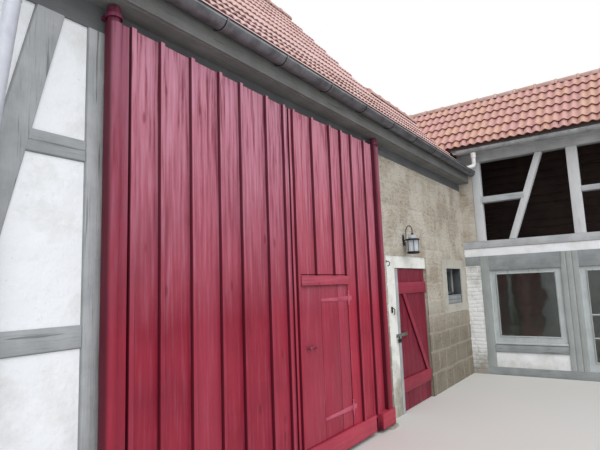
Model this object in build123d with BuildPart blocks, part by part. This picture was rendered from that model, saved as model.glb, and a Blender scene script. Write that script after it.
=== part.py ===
from build123d import *
from math import hypot, radians, tan
import os

# A farmhouse range round the corner of a yard: a tall timber and stone barn with a pair of
# board doors, a lower link beside it, and a wing with a glazed ground floor and an open gallery.
# Everything is drawn from the yard corner, where the stone wall meets the wing at ground level:
# x runs along the barn, y runs into it and z is up. The yard has negative x and negative y.
# The finished pieces are shifted together, so that the house stands over the origin.

# Barn, across (y) and along (x)
BARN_LEFT = -10030
BARN_DEPTH = 6160
GABLE_FACE = -1530
VERGE = -1430
SIDE_OVERHANG = 100
PLAIN_WALL = 300
STONE_WALL = 450
FRAME = 160

# Barn and link roof, as places (y, z) on the tiled surface
EAVE = (-220, 4050)
BELL_ANGLE = 46.3
MAIN_ANGLE = 50.5
LINK_RIDGE = (1232, 5643)
RIDGE_Y = BARN_DEPTH / 2
LINK_DEPTH = 2 * LINK_RIDGE[0]
ROOF_DROP = 130
BARN_GAUGE = 333
BARN_STEP = 20

# Barn front
PLATE = (3520, 3700)
DOOR_POST = (-8032, -7830)
STONE_PIER = (-3960, -3677)
END_POST = 200
SILL_TOP = 200
RAIL_TOPS = (1580, 2740)
RAIL_HEIGHT = 140
LONG_BRACE_FOOT = (-9025, SILL_TOP)
LONG_BRACE_HEAD = (-8276, PLATE[0])
BRACE_WIDTH = 180
PLASTER_BACK = 15

# Board doors of the barn
LEAF_Z = (40, 3600)
LEAF_SAG = 40
LEFT_LEAF_EDGE = -5942
RIGHT_LEAF_EDGE = -5917
LEFT_PIVOT = (-7893, -75)
RIGHT_PIVOT = (-4005, -75)
POST_RADIUS = 57
POST_FACE = 88
POST_Y = (-120, -40)
POST_TOP = 3570
JOURNAL_RADIUS = 43
JOURNAL_TOP = 3690
BOARD_Y = (-75, -45)
BATTEN_Y = (-105, -75)
RAIL_Y = (-45, -15)
FOOT_RAIL_Z = (40, 232)
BATTEN_WIDTH = 43
LEFT_BATTENS = (-7752, -7504, -7210, -6904, -6646, -6290, -6023)
RIGHT_BATTENS = (-4663, -4327)
OVER_WICKET_BATTENS = (-5522, -5160, -4912)
BATTEN_BY_WICKET = -5862
FOOT_NOTCH = (-4400, -4300)
FOOT_NOTCH_TOP = 185
LEDGE_HEIGHT = 150
LEDGES = (420, 2000, 3300)

# Wicket in the right leaf
WICKET_X = (-5828, -4895)
WICKET_Z = (240, 1880)
WICKET_GAP = (10, 8)
WICKET_HEAD = (1771, 1869)
STRAPS = (429, 1618)
STRAP_HEIGHT = 50
STRAP_TIP = 28
STRAP_Y = (-82, -75)
STRAP_START = -5457
HINGE_PLATE_X = (-4880, -4813)

# Small door and its frame
JAMB = (-3677, -3397)
SMALL_DOORWAY = (-3397, -2210)
DOOR_HEAD = (1985, 2160)
FRAME_POST_X = (-3397, -3318)
FRAME_POST_Y = (28, 110)
SMALL_LEAF_X = (-3310, -2228)
SMALL_LEAF_Z = (10, 1975)
SMALL_BOARD_Y = (30, 60)
SMALL_LEDGE_Y = (5, 30)
LEDGE_END = -2218
SMALL_LEDGES = ((256, 440), (1615, 1778))
SMALL_BRACE = ((-2331, 440), (-3099, 1615))
SMALL_BRACE_WIDTH = 110
HASP_X = (-3480, -3105)
HASP_Z = (1028, 1072)
HASP_Y = (-14, -6)

# Small window
SURROUND_X = (-1433, -87)
SURROUND_Z = (1220, 2155)
WINDOW_X = (-1210, -370)
WINDOW_Z = (1365, 2000)
SURROUND_Y = (-15, 250)
SASH_Y = (180, 230)
SASH_BAR = 45
LOWER_LIGHT = 175
PANE = 6
PANE_MARGIN = 5

# Eaves of the barn
SOFFIT_Y = -170
FASCIA_THICK = 22
FASCIA_Z = (3709, 3940)
BEAD = (6, 18)
GUTTER_Y = -271
GUTTER_Z = 3905
GUTTER_RADIUS = 75
GUTTER_SHEET = 5
GUTTER_END = -20
BRACKET_BAND = 4
BRACKET_WIDTH = 30
BRACKET_TAIL = 60
BRACKET_SPACING = 797
FIRST_BRACKET = -2290
BRACKETS = 10
DOWNPIPE = (-8614, -65)
DOWNPIPE_RADIUS = 40
DOWNPIPE_FOOT = 60
DOWNPIPE_BENDS = (530, 1243)
DOWNPIPE_BEND = 70
PIPE_SOCKET = 3330
PIPE_CLAMPS = (120, 1510, 2300)
CLAMP_SHEET = 4
CLAMP_HEIGHT = 40
CLAMP_PIN = 12

# Lantern on the stone wall
LANTERN_X = -3030
LANTERN_OUT = 150
LANTERN_FOOT = 2180
LANTERN_TOP = LANTERN_FOOT + 320
ARM = 12
ARM_Y = (-8, -52)
ARM_Z = (LANTERN_FOOT + 200, LANTERN_FOOT + 425)
ARM_BEND = 42
ARM_PLATE = ((LANTERN_X - 45, LANTERN_X + 45), (-10, 0), (ARM_Z[0] - 90, ARM_Z[0] + 110))

# Wing: its face towards the yard is the plane x = 0
WING_DEPTH = 2680
WING_REAR = LINK_DEPTH
BAY = 1672
FIRST_BAY = -286
WING_END = FIRST_BAY - 3 * BAY
WING_EAVE = (-275, 4445)
WING_ANGLE = 40.4
WING_DROP = 90
WING_VERGE = 150
WING_GAUGE = 345
WING_STEP = 30
BASE_TOP = 143
WINDOW_SILL = (418, 550)
GLASS_FOOT = 715
DOOR_GLASS_FOOT = 308
GLASS_HEAD = 1870
HEAD_BEAM = (1947, 2233)
GALLERY_SILL = (2387, 2530)
GALLERY_PLATE = (4103, 4290)
FIRST_POST = (-451, -286)
DOUBLE_POST = 286
SASH_STILE = 110
SASH_X = (35, 95)
PANE_X = (62, 68)
CORNER_PIER_TOP = 2050
GALLERY_POSTS = ((-418, -264), (-2123, -1947), (-3795, -3619), (-5302, -5126))
GALLERY_BRACE = ((-913, GALLERY_SILL[1]), (-1496, GALLERY_PLATE[0]))
GALLERY_BRACE_WIDTH = 115
LEFT_RAIL = (3278, 3399)
RIGHT_RAIL = (3267, 3366)
WING_GUTTER_X = -292
WING_GUTTER_Z = 4300
WING_GUTTER_RADIUS = 70
WING_GUTTER_END = -100
ELBOW_Y = -407
ELBOW_RADIUS = 38
ELBOW_SOCKET = (49, 92)
ELBOW_BEND = 255
ELBOW_DROP = 300
ELBOW_OUT = 90
ELBOW_ROUNDING = 55

# Worked out from the above
BELL_SLOPE = tan(radians(BELL_ANGLE))
MAIN_SLOPE = tan(radians(MAIN_ANGLE))
WING_SLOPE = tan(radians(WING_ANGLE))
RIDGE = (RIDGE_Y, LINK_RIDGE[1] + (RIDGE_Y - LINK_RIDGE[0]) * MAIN_SLOPE)
KNEE_Y = (
    LINK_RIDGE[1] - LINK_RIDGE[0] * MAIN_SLOPE - EAVE[1] + EAVE[0] * BELL_SLOPE
) / (BELL_SLOPE - MAIN_SLOPE)
KNEE = (KNEE_Y, EAVE[1] + (KNEE_Y - EAVE[0]) * BELL_SLOPE)
WING_RIDGE = (WING_DEPTH / 2, WING_EAVE[1] + (WING_DEPTH / 2 - WING_EAVE[0]) * WING_SLOPE)
FASCIA_Y = SOFFIT_Y - FASCIA_THICK
MIDDLE_X = (BARN_LEFT - SIDE_OVERHANG + WING_DEPTH - WING_EAVE[0]) / 2
MIDDLE_Y = (WING_END - WING_VERGE + BARN_DEPTH - EAVE[0]) / 2

os.makedirs("parts", exist_ok=True)


def save(builder, name):
    """Label a finished piece and write it, shifted so that the house stands over the origin."""
    piece = builder.part.moved(Location((-MIDDLE_X, -MIDDLE_Y, 0)))
    piece.label = name
    export_step(piece, f"parts/{name}.step")


def block(x, y, z, mode=Mode.ADD):
    """A straight-edged solid between the two limits given for each direction."""
    with Locations((sum(x) / 2, sum(y) / 2, sum(z) / 2)):
        Box(abs(x[1] - x[0]), abs(y[1] - y[0]), abs(z[1] - z[0]), mode=mode)


def along_x(outline, start, end, mode=Mode.ADD):
    """Carry a closed outline of (y, z) points from x = start to x = end."""
    with BuildSketch(Plane.YZ.offset(start)) as section:
        with BuildLine():
            Polyline(*outline, close=True)
        make_face()
    extrude(section.sketch, amount=end - start, mode=mode)


def along_y(outline, start, end, mode=Mode.ADD):
    """Carry a closed outline of (x, z) points from y = start to y = end."""
    with BuildSketch(Plane.XZ.offset(-start)) as section:
        with BuildLine():
            Polyline(*outline, close=True)
        make_face()
    extrude(section.sketch, amount=start - end, mode=mode)


def leaning(foot, head, width):
    """Outline of a brace cut level at both ends, from the middle of its foot to its head."""
    half = width / 2
    return [
        (foot[0] - half, foot[1]),
        (foot[0] + half, foot[1]),
        (head[0] + half, head[1]),
        (head[0] - half, head[1]),
    ]


def roof_top(y, ridge):
    """Height of the tiles of the barn or the link, whose ridge is given, at the place y."""
    from_front = ridge[0] - abs(y - ridge[0])
    if from_front < KNEE[0]:
        return EAVE[1] + (from_front - EAVE[0]) * BELL_SLOPE
    return KNEE[1] + (from_front - KNEE[0]) * MAIN_SLOPE


def roof_under(y, ridge):
    """Height of the underside of the same roof."""
    return roof_top(y, ridge) - ROOF_DROP


def wing_top(x):
    """Height of the wing's tiles at the place x."""
    return WING_RIDGE[1] - abs(x - WING_RIDGE[0]) * WING_SLOPE


def coursed(bends, gauge, step):
    """Top edge of a tiled slope up the given bends: each course lies a step over the one below."""
    edge = []
    done = 0
    for foot, head in zip(bends, bends[1:]):
        length = hypot(head[0] - foot[0], head[1] - foot[1])
        noses = [place * gauge for place in range(int(done // gauge), int((done + length) // gauge) + 1)]
        for nose in [done] + [nose for nose in noses if done < nose < done + length]:
            share = (nose - done) / length
            spot = (foot[0] + share * (head[0] - foot[0]), foot[1] + share * (head[1] - foot[1]))
            if nose > done:
                edge.append(spot)
            edge.append((spot[0], spot[1] + step * (1 - nose % gauge / gauge)))
        done += length
    left_over = step * (1 - done % gauge / gauge)
    return edge + [(bends[-1][0], bends[-1][1] + left_over)]


def slope_outline(ridge, behind):
    """Section of one slope, front or back, of the barn or the link, with its flatter foot."""
    places = [EAVE[0], KNEE[0], ridge[0]]
    top = coursed([(place, roof_top(place, ridge)) for place in places], BARN_GAUGE, BARN_STEP)
    under = [(place, roof_under(place, ridge)) for place in reversed(places)]
    if behind:
        return [(2 * ridge[0] - place, height) for place, height in top + under]
    return top + under


def under_roof(start, end, ridge):
    """Top edge of a cross wall, following the underside of the roof from start to end."""
    bends = [start, KNEE[0], ridge[0], 2 * ridge[0] - KNEE[0], end]
    return [(place, roof_under(place, ridge)) for place in bends if start <= place <= end]


# Roofs
with BuildPart() as barn_roof_front:
    along_x(slope_outline(RIDGE, behind=False), BARN_LEFT - SIDE_OVERHANG, VERGE)
save(barn_roof_front, "barn_roof_front")

with BuildPart() as barn_roof_back:
    along_x(slope_outline(RIDGE, behind=True), BARN_LEFT - SIDE_OVERHANG, VERGE)
save(barn_roof_back, "barn_roof_back")

WING_YARD_SLOPE = [
    *coursed([WING_EAVE, WING_RIDGE], WING_GAUGE, WING_STEP),
    (WING_RIDGE[0], WING_RIDGE[1] - WING_DROP),
    (WING_EAVE[0], WING_EAVE[1] - WING_DROP),
]

with BuildPart() as wing_roof_front:
    along_y(WING_YARD_SLOPE, WING_END - WING_VERGE, WING_REAR + WING_VERGE)
save(wing_roof_front, "wing_roof_front")

with BuildPart() as wing_roof_back:
    far_slope = [(WING_DEPTH - x, z) for x, z in WING_YARD_SLOPE]
    along_y(far_slope, WING_END - WING_VERGE, WING_REAR + WING_VERGE)
save(wing_roof_back, "wing_roof_back")

# The link's slopes stop in the valley, on the wing's tiles
UNDER_WING_TILES = [
    (0, 0),
    (0, wing_top(0) - WING_DROP),
    (WING_EAVE[0], WING_EAVE[1] - WING_DROP),
    WING_EAVE,
    WING_RIDGE,
    (WING_RIDGE[0], 0),
]

with BuildPart() as link_roof_front:
    along_x(slope_outline(LINK_RIDGE, behind=False), VERGE, WING_RIDGE[0])
    along_y(UNDER_WING_TILES, WING_END, WING_REAR + WING_VERGE, mode=Mode.SUBTRACT)
    add(wing_roof_front.part, mode=Mode.SUBTRACT)
save(link_roof_front, "link_roof_front")

with BuildPart() as link_roof_back:
    along_x(slope_outline(LINK_RIDGE, behind=True), GABLE_FACE, WING_RIDGE[0])
    along_y(UNDER_WING_TILES, WING_END, LINK_DEPTH - 2 * EAVE[0], mode=Mode.SUBTRACT)
    add(barn_roof_front.part, mode=Mode.SUBTRACT)
    add(wing_roof_front.part, mode=Mode.SUBTRACT)
save(link_roof_back, "link_roof_back")

# Ridge caps
CAP_RADIUS = 115
CAP_SINK = 45
CAP_SHEET = 18


def ridge_cap(plane, length):
    """A row of half-round caps from the plane along its normal."""
    with BuildSketch(plane) as section:
        Circle(CAP_RADIUS)
        Circle(CAP_RADIUS - CAP_SHEET, mode=Mode.SUBTRACT)
        Rectangle(3 * CAP_RADIUS, CAP_RADIUS, align=(Align.CENTER, Align.MAX), mode=Mode.SUBTRACT)
    extrude(section.sketch, amount=length)


def ridge_plane(origin, normal, across):
    """A plane at the ridge, below its caps' tops, looking along the ridge with z upwards."""
    return Plane(origin=origin, x_dir=across, z_dir=normal)


LINK_RIDGE_END = WING_EAVE[0] + (LINK_RIDGE[1] - WING_EAVE[1]) / WING_SLOPE

with BuildPart() as barn_ridge_caps:
    ridge_cap(
        ridge_plane((BARN_LEFT - SIDE_OVERHANG, RIDGE[0], RIDGE[1] - CAP_SINK), (1, 0, 0), (0, 1, 0)),
        VERGE - BARN_LEFT + SIDE_OVERHANG,
    )
    add(barn_roof_front.part, mode=Mode.SUBTRACT)
    add(barn_roof_back.part, mode=Mode.SUBTRACT)
save(barn_ridge_caps, "barn_ridge_caps")

with BuildPart() as wing_ridge_caps:
    ridge_cap(
        ridge_plane(
            (WING_RIDGE[0], WING_REAR + WING_VERGE, WING_RIDGE[1] - CAP_SINK), (0, -1, 0), (1, 0, 0)
        ),
        WING_REAR + 2 * WING_VERGE - WING_END,
    )
    add(wing_roof_front.part, mode=Mode.SUBTRACT)
    add(wing_roof_back.part, mode=Mode.SUBTRACT)
save(wing_ridge_caps, "wing_ridge_caps")

with BuildPart() as link_ridge_caps:
    ridge_cap(
        ridge_plane((VERGE, LINK_RIDGE[0], LINK_RIDGE[1] - CAP_SINK), (1, 0, 0), (0, 1, 0)),
        LINK_RIDGE_END - VERGE,
    )
    for roof in (link_roof_front, link_roof_back, wing_roof_front, barn_roof_front):
        add(roof.part, mode=Mode.SUBTRACT)
save(link_ridge_caps, "link_ridge_caps")

# Barn walls
with BuildPart() as front_timber_frame:
    block((BARN_LEFT, DOOR_POST[1]), (0, FRAME), (0, SILL_TOP))
    block((BARN_LEFT, BARN_LEFT + END_POST), (0, FRAME), (SILL_TOP, PLATE[0]))
    block(DOOR_POST, (0, FRAME), (SILL_TOP, PLATE[0]))
    for rail_top in RAIL_TOPS:
        block((BARN_LEFT + END_POST, DOOR_POST[0]), (0, FRAME), (rail_top - RAIL_HEIGHT, rail_top))
    along_y(leaning(LONG_BRACE_FOOT, LONG_BRACE_HEAD, BRACE_WIDTH), 0, FRAME)
save(front_timber_frame, "front_timber_frame")

with BuildPart() as front_plaster:
    block(
        (BARN_LEFT + END_POST, DOOR_POST[0]),
        (PLASTER_BACK, FRAME - PLASTER_BACK),
        (SILL_TOP, PLATE[0]),
    )
    add(front_timber_frame.part, mode=Mode.SUBTRACT)
save(front_plaster, "front_plaster")

with BuildPart() as front_wall_plate:
    plate_section = [
        (0, PLATE[0]),
        (FRAME, PLATE[0]),
        (FRAME, roof_under(FRAME, RIDGE)),
        (0, roof_under(0, RIDGE)),
    ]
    along_x(plate_section, BARN_LEFT, 0)
save(front_wall_plate, "front_wall_plate")

with BuildPart() as stone_wall_left:
    block(STONE_PIER, (0, STONE_WALL), (0, PLATE[0]))
save(stone_wall_left, "stone_wall_left")

with BuildPart() as stone_wall_over_door:
    block((STONE_PIER[1], SMALL_DOORWAY[1]), (0, STONE_WALL), (DOOR_HEAD[1], PLATE[0]))
save(stone_wall_over_door, "stone_wall_over_door")

with BuildPart() as stone_wall_right:
    block((SMALL_DOORWAY[1], STONE_WALL), (0, STONE_WALL), (0, PLATE[0]))
    block(SURROUND_X, (0, STONE_WALL), SURROUND_Z, mode=Mode.SUBTRACT)
save(stone_wall_right, "stone_wall_right")

with BuildPart() as left_gable_wall:
    gable_back = BARN_DEPTH - PLAIN_WALL
    gable_outline = [(FRAME, 0), *under_roof(FRAME, gable_back, RIDGE), (gable_back, 0)]
    along_x(gable_outline, BARN_LEFT, BARN_LEFT + PLAIN_WALL)
save(left_gable_wall, "left_gable_wall")

with BuildPart() as right_gable_wall:
    gable_outline = [
        (STONE_WALL, 0),
        (STONE_WALL, PLATE[0]),
        (FRAME, PLATE[0]),
        *under_roof(FRAME, BARN_DEPTH - PLAIN_WALL, RIDGE),
        (BARN_DEPTH - PLAIN_WALL, 0),
    ]
    along_x(gable_outline, GABLE_FACE - PLAIN_WALL, GABLE_FACE)
save(right_gable_wall, "right_gable_wall")

with BuildPart() as back_wall:
    wall_outline = [
        (BARN_DEPTH - PLAIN_WALL, 0),
        (BARN_DEPTH, 0),
        (BARN_DEPTH, roof_under(BARN_DEPTH, RIDGE)),
        (BARN_DEPTH - PLAIN_WALL, roof_under(BARN_DEPTH - PLAIN_WALL, RIDGE)),
    ]
    along_x(wall_outline, BARN_LEFT, GABLE_FACE)
save(back_wall, "back_wall")

with BuildPart() as link_back_wall:
    wall_outline = [
        (LINK_DEPTH - PLAIN_WALL, 0),
        (LINK_DEPTH, 0),
        (LINK_DEPTH, roof_under(LINK_DEPTH, LINK_RIDGE)),
        (LINK_DEPTH - PLAIN_WALL, roof_under(LINK_DEPTH - PLAIN_WALL, LINK_RIDGE)),
    ]
    along_x(wall_outline, GABLE_FACE, 0)
    over_wall = [
        (WING_EAVE[0], WING_EAVE[1] - WING_DROP),
        (0, wing_top(0) - WING_DROP),
        (0, WING_RIDGE[1]),
        (WING_EAVE[0], WING_RIDGE[1]),
    ]
    along_y(over_wall, LINK_DEPTH - PLAIN_WALL, LINK_DEPTH, mode=Mode.SUBTRACT)
save(link_back_wall, "link_back_wall")

# Boxed eaves of the barn
with BuildPart() as barn_eaves:
    block((BARN_LEFT, 0), (SOFFIT_Y, 0), (PLATE[1], PLATE[1] + FASCIA_THICK))
    block((BARN_LEFT, 0), (FASCIA_Y, SOFFIT_Y), FASCIA_Z)
    block((BARN_LEFT, 0), (FASCIA_Y - BEAD[0], FASCIA_Y), (FASCIA_Z[0], FASCIA_Z[0] + BEAD[1]))
save(barn_eaves, "barn_eaves")


def half_round(plane, radius, sheet, length):
    """A trough of sheet metal, open at the top, from the plane along its normal."""
    with BuildSketch(plane) as section:
        Circle(radius)
        Circle(radius - sheet, mode=Mode.SUBTRACT)
        Rectangle(3 * radius, 3 * radius, align=(Align.CENTER, Align.MIN), mode=Mode.SUBTRACT)
    extrude(section.sketch, amount=length)


with BuildPart() as barn_gutter:
    gutter_start = BARN_LEFT - SIDE_OVERHANG
    across = Plane(origin=(gutter_start, GUTTER_Y, GUTTER_Z), x_dir=(0, 1, 0), z_dir=(1, 0, 0))
    half_round(across, GUTTER_RADIUS, GUTTER_SHEET, GUTTER_END - gutter_start)
    for end in (0, GUTTER_END - gutter_start - GUTTER_SHEET):
        half_round(across.offset(end), GUTTER_RADIUS, GUTTER_RADIUS - 1, GUTTER_SHEET)
    for turn in range(BRACKETS):
        band_start = FIRST_BRACKET - turn * BRACKET_SPACING
        band = across.offset(band_start - gutter_start)
        half_round(band, GUTTER_RADIUS + BRACKET_BAND, BRACKET_BAND + 1, BRACKET_WIDTH)
        block(
            (band_start, band_start + BRACKET_WIDTH),
            (FASCIA_Y - 2 * BRACKET_BAND, FASCIA_Y),
            (GUTTER_Z - BRACKET_TAIL, GUTTER_Z),
        )
save(barn_gutter, "barn_gutter")

with BuildPart() as downpipe:
    pipe_x, pipe_y = DOWNPIPE
    outlet = GUTTER_Z - GUTTER_RADIUS
    with BuildLine() as route:
        FilletPolyline(
            (pipe_x, GUTTER_Y, outlet),
            (pipe_x, GUTTER_Y, outlet - DOWNPIPE_BENDS[0]),
            (pipe_x, pipe_y, outlet - DOWNPIPE_BENDS[1]),
            (pipe_x, pipe_y, DOWNPIPE_FOOT),
            radius=DOWNPIPE_BEND,
        )
    with BuildSketch(Plane(origin=(pipe_x, GUTTER_Y, outlet), z_dir=(0, 0, -1))):
        Circle(DOWNPIPE_RADIUS)
    sweep(path=route.line)
    with Locations((pipe_x, GUTTER_Y, PIPE_SOCKET)):
        Cylinder(DOWNPIPE_RADIUS + CLAMP_SHEET, CLAMP_HEIGHT)
    for height in PIPE_CLAMPS:
        with Locations((pipe_x, pipe_y, height)):
            Cylinder(DOWNPIPE_RADIUS + CLAMP_SHEET, CLAMP_HEIGHT)
        block(
            (pipe_x - CLAMP_PIN, pipe_x + CLAMP_PIN),
            (pipe_y + DOWNPIPE_RADIUS, 0),
            (height - CLAMP_PIN, height + CLAMP_PIN),
        )
    add(barn_gutter.part, mode=Mode.SUBTRACT)
save(downpipe, "downpipe")


def upright(pivot, radius, foot, head):
    """A round timber that stands on the axis of a leaf."""
    with Locations((pivot[0], pivot[1], (foot + head) / 2)):
        Cylinder(radius, head - foot)


def pivot_post(pivot, face):
    """A post that carries a leaf and turns on its foot, flat on the leaf's side."""
    upright(pivot, POST_RADIUS, LEAF_Z[0], POST_TOP)
    block((pivot[0], face), POST_Y, (LEAF_Z[0], POST_TOP))


LEFT_FACE = LEFT_PIVOT[0] + POST_FACE
RIGHT_FACE = RIGHT_PIVOT[0] - POST_FACE

with BuildPart() as left_pivot_post:
    pivot_post(LEFT_PIVOT, LEFT_FACE)
save(left_pivot_post, "left_pivot_post")

with BuildPart() as right_pivot_post:
    pivot_post(RIGHT_PIVOT, RIGHT_FACE)
save(right_pivot_post, "right_pivot_post")

# The journals, on which the posts turn in their collars
with BuildPart() as left_post_journal:
    upright(LEFT_PIVOT, JOURNAL_RADIUS, POST_TOP, JOURNAL_TOP)
save(left_post_journal, "left_post_journal")

with BuildPart() as right_post_journal:
    upright(RIGHT_PIVOT, JOURNAL_RADIUS, POST_TOP, JOURNAL_TOP)
save(right_post_journal, "right_post_journal")


def leaf_body(face, edge, battens):
    """Boards with cover battens in front, a rail along the foot, ledges behind and a sagging top."""
    block((face, edge), BOARD_Y, LEAF_Z)
    block((face, edge), BATTEN_Y, FOOT_RAIL_Z)
    for place in battens:
        batten = (place - BATTEN_WIDTH / 2, place + BATTEN_WIDTH / 2)
        block(batten, BATTEN_Y, (FOOT_RAIL_Z[1], LEAF_Z[1]))
    for height in LEDGES:
        block((face, edge), RAIL_Y, (height - LEDGE_HEIGHT / 2, height + LEDGE_HEIGHT / 2))
    over_top = [(face, LEAF_Z[1]), (edge, LEAF_Z[1] - LEAF_SAG), (edge, LEAF_Z[1])]
    along_y(over_top, BATTEN_Y[0], BOARD_Y[1], mode=Mode.SUBTRACT)


with BuildPart() as left_leaf:
    leaf_body(LEFT_FACE, LEFT_LEAF_EDGE, LEFT_BATTENS)
save(left_leaf, "left_leaf")

with BuildPart() as right_leaf:
    leaf_body(RIGHT_FACE, RIGHT_LEAF_EDGE, (BATTEN_BY_WICKET, *OVER_WICKET_BATTENS, *RIGHT_BATTENS))
    block(
        (WICKET_X[0] - WICKET_GAP[0], WICKET_X[1] + WICKET_GAP[0]),
        (BATTEN_Y[0], RAIL_Y[1]),
        (WICKET_Z[0] - WICKET_GAP[1], WICKET_Z[1] + WICKET_GAP[1]),
        mode=Mode.SUBTRACT,
    )
    for strap in STRAPS:
        block(HINGE_PLATE_X, STRAP_Y, (strap - STRAP_HEIGHT / 2, strap + STRAP_HEIGHT / 2))
    block(FOOT_NOTCH, (BATTEN_Y[0], RAIL_Y[1]), (LEAF_Z[0], FOOT_NOTCH_TOP), mode=Mode.SUBTRACT)
save(right_leaf, "right_leaf")

with BuildPart() as wicket_leaf:
    block(WICKET_X, BOARD_Y, WICKET_Z)
    block(WICKET_X, BATTEN_Y, WICKET_HEAD)
    for height in (LEDGES[0], WICKET_Z[1] - LEDGE_HEIGHT):
        block(WICKET_X, RAIL_Y, (height - LEDGE_HEIGHT / 2, height + LEDGE_HEIGHT / 2))
save(wicket_leaf, "wicket_leaf")

with BuildPart() as wicket_hinges:
    for strap in STRAPS:
        strap_outline = [
            (STRAP_START, strap - STRAP_TIP / 2),
            (WICKET_X[1], strap - STRAP_HEIGHT / 2),
            (WICKET_X[1], strap + STRAP_HEIGHT / 2),
            (STRAP_START, strap + STRAP_TIP / 2),
        ]
        along_y(strap_outline, *STRAP_Y)
save(wicket_hinges, "wicket_hinges")

# Iron collars that hold the journals to the wall, and the stones under the posts
COLLAR_GAP = 6
COLLAR_IRON = 8
COLLAR_Z = (3608, 3632)
PIVOT_STONE = 190
STONE_TOP = 30
STONE_CHAMFER = 20

with BuildPart() as pivot_collars:
    for pivot in (LEFT_PIVOT, RIGHT_PIVOT):
        inner = JOURNAL_RADIUS + COLLAR_GAP
        with BuildSketch(Plane.XY.offset(COLLAR_Z[0])) as ring:
            with Locations(pivot):
                Circle(inner + COLLAR_IRON)
                Circle(inner, mode=Mode.SUBTRACT)
            with Locations((pivot[0], pivot[1] + inner)):
                Rectangle(2 * inner, -pivot[1], align=(Align.CENTER, Align.MIN))
            with Locations((pivot[0], 0)):
                Rectangle(3 * inner, 2 * inner, align=(Align.CENTER, Align.MIN), mode=Mode.SUBTRACT)
        extrude(ring.sketch, amount=COLLAR_Z[1] - COLLAR_Z[0])
save(pivot_collars, "pivot_collars")

with BuildPart() as pivot_stones:
    for pivot in (LEFT_PIVOT, RIGHT_PIVOT):
        block(
            (pivot[0] - PIVOT_STONE / 2, pivot[0] + PIVOT_STONE / 2),
            (pivot[1] - PIVOT_STONE / 2, 0),
            (0, STONE_TOP),
        )
    chamfer(pivot_stones.edges().filter_by(Axis.Z), STONE_CHAMFER)
save(pivot_stones, "pivot_stones")

# Small door in the stone wall
with BuildPart() as small_door_frame:
    block(JAMB, (0, STONE_WALL), (0, DOOR_HEAD[0]))
    block((JAMB[0], SMALL_DOORWAY[1]), (0, STONE_WALL), DOOR_HEAD)
save(small_door_frame, "small_door_frame")

with BuildPart() as small_door_post:
    block(FRAME_POST_X, FRAME_POST_Y, (0, DOOR_HEAD[0]))
save(small_door_post, "small_door_post")

with BuildPart() as small_door_leaf:
    block(SMALL_LEAF_X, SMALL_BOARD_Y, SMALL_LEAF_Z)
    for ledge in SMALL_LEDGES:
        block((SMALL_LEAF_X[0], LEDGE_END), SMALL_LEDGE_Y, ledge)
    along_y(leaning(*SMALL_BRACE, SMALL_BRACE_WIDTH), *SMALL_LEDGE_Y)
save(small_door_leaf, "small_door_leaf")

with BuildPart() as small_door_hasp:
    block(HASP_X, HASP_Y, HASP_Z)
    block((SMALL_LEAF_X[0], HASP_X[1]), (HASP_Y[1], SMALL_BOARD_Y[0]), HASP_Z)
save(small_door_hasp, "small_door_hasp")

# Small window
with BuildPart() as window_surround:
    block(SURROUND_X, SURROUND_Y, SURROUND_Z)
    block(WINDOW_X, SURROUND_Y, WINDOW_Z, mode=Mode.SUBTRACT)
save(window_surround, "window_surround")

with BuildPart() as small_window:
    block(WINDOW_X, SASH_Y, WINDOW_Z)
    middle = sum(WINDOW_X) / 2
    lower_light = (WINDOW_Z[0] + SASH_BAR, WINDOW_Z[0] + LOWER_LIGHT)
    upper_light = (lower_light[1] + SASH_BAR, WINDOW_Z[1] - SASH_BAR)
    for light in (lower_light, upper_light):
        left_pane = (WINDOW_X[0] + SASH_BAR, middle - SASH_BAR / 2)
        right_pane = (middle + SASH_BAR / 2, WINDOW_X[1] - SASH_BAR)
        block(left_pane, SASH_Y, light, mode=Mode.SUBTRACT)
        block(right_pane, SASH_Y, light, mode=Mode.SUBTRACT)
save(small_window, "small_window")

with BuildPart() as small_window_glass:
    block(
        (WINDOW_X[0] + PANE_MARGIN, WINDOW_X[1] - PANE_MARGIN),
        (SASH_Y[1], SASH_Y[1] + PANE),
        (WINDOW_Z[0] + PANE_MARGIN, WINDOW_Z[1] - PANE_MARGIN),
    )
save(small_window_glass, "small_window_glass")

# Lantern hung from a hooked arm
with BuildPart() as lantern_bracket:
    with BuildLine() as arm:
        FilletPolyline(
            (LANTERN_X, ARM_Y[0], ARM_Z[0]),
            (LANTERN_X, ARM_Y[1], ARM_Z[0]),
            (LANTERN_X, ARM_Y[1], ARM_Z[1]),
            (LANTERN_X, -LANTERN_OUT, ARM_Z[1]),
            (LANTERN_X, -LANTERN_OUT, LANTERN_TOP),
            radius=ARM_BEND,
        )
    with BuildSketch(Plane(origin=(LANTERN_X, ARM_Y[0], ARM_Z[0]), z_dir=(0, -1, 0))):
        Rectangle(ARM, ARM)
    sweep(path=arm.line)
    block(*ARM_PLATE)
save(lantern_bracket, "lantern_bracket")

LANTERN_RINGS = ((0, 70), (25, 70), (40, 62), (205, 84), (215, 96), (280, 60), (320, 18))

with BuildPart() as lantern:
    for (foot, foot_size), (head, head_size) in zip(LANTERN_RINGS, LANTERN_RINGS[1:]):
        for height, size in ((foot, foot_size), (head, head_size)):
            with BuildSketch(Plane((LANTERN_X, -LANTERN_OUT, LANTERN_FOOT + height))):
                RegularPolygon(size, 6)
        loft(ruled=True)
save(lantern, "lantern")

# Wing, ground floor: posts, beams and panels with a glazed opening in each bay
DOUBLE_POSTS = [
    (FIRST_BAY - turn * BAY, FIRST_BAY - turn * BAY + DOUBLE_POST) for turn in (1, 2, 3)
]
POSTS = [FIRST_POST, *DOUBLE_POSTS]
BAYS = [(right[1], left[0]) for left, right in zip(POSTS, POSTS[1:])]
GLAZED_DOOR_BAY = 1
WING_LENGTH = (WING_END, 0)

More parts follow.
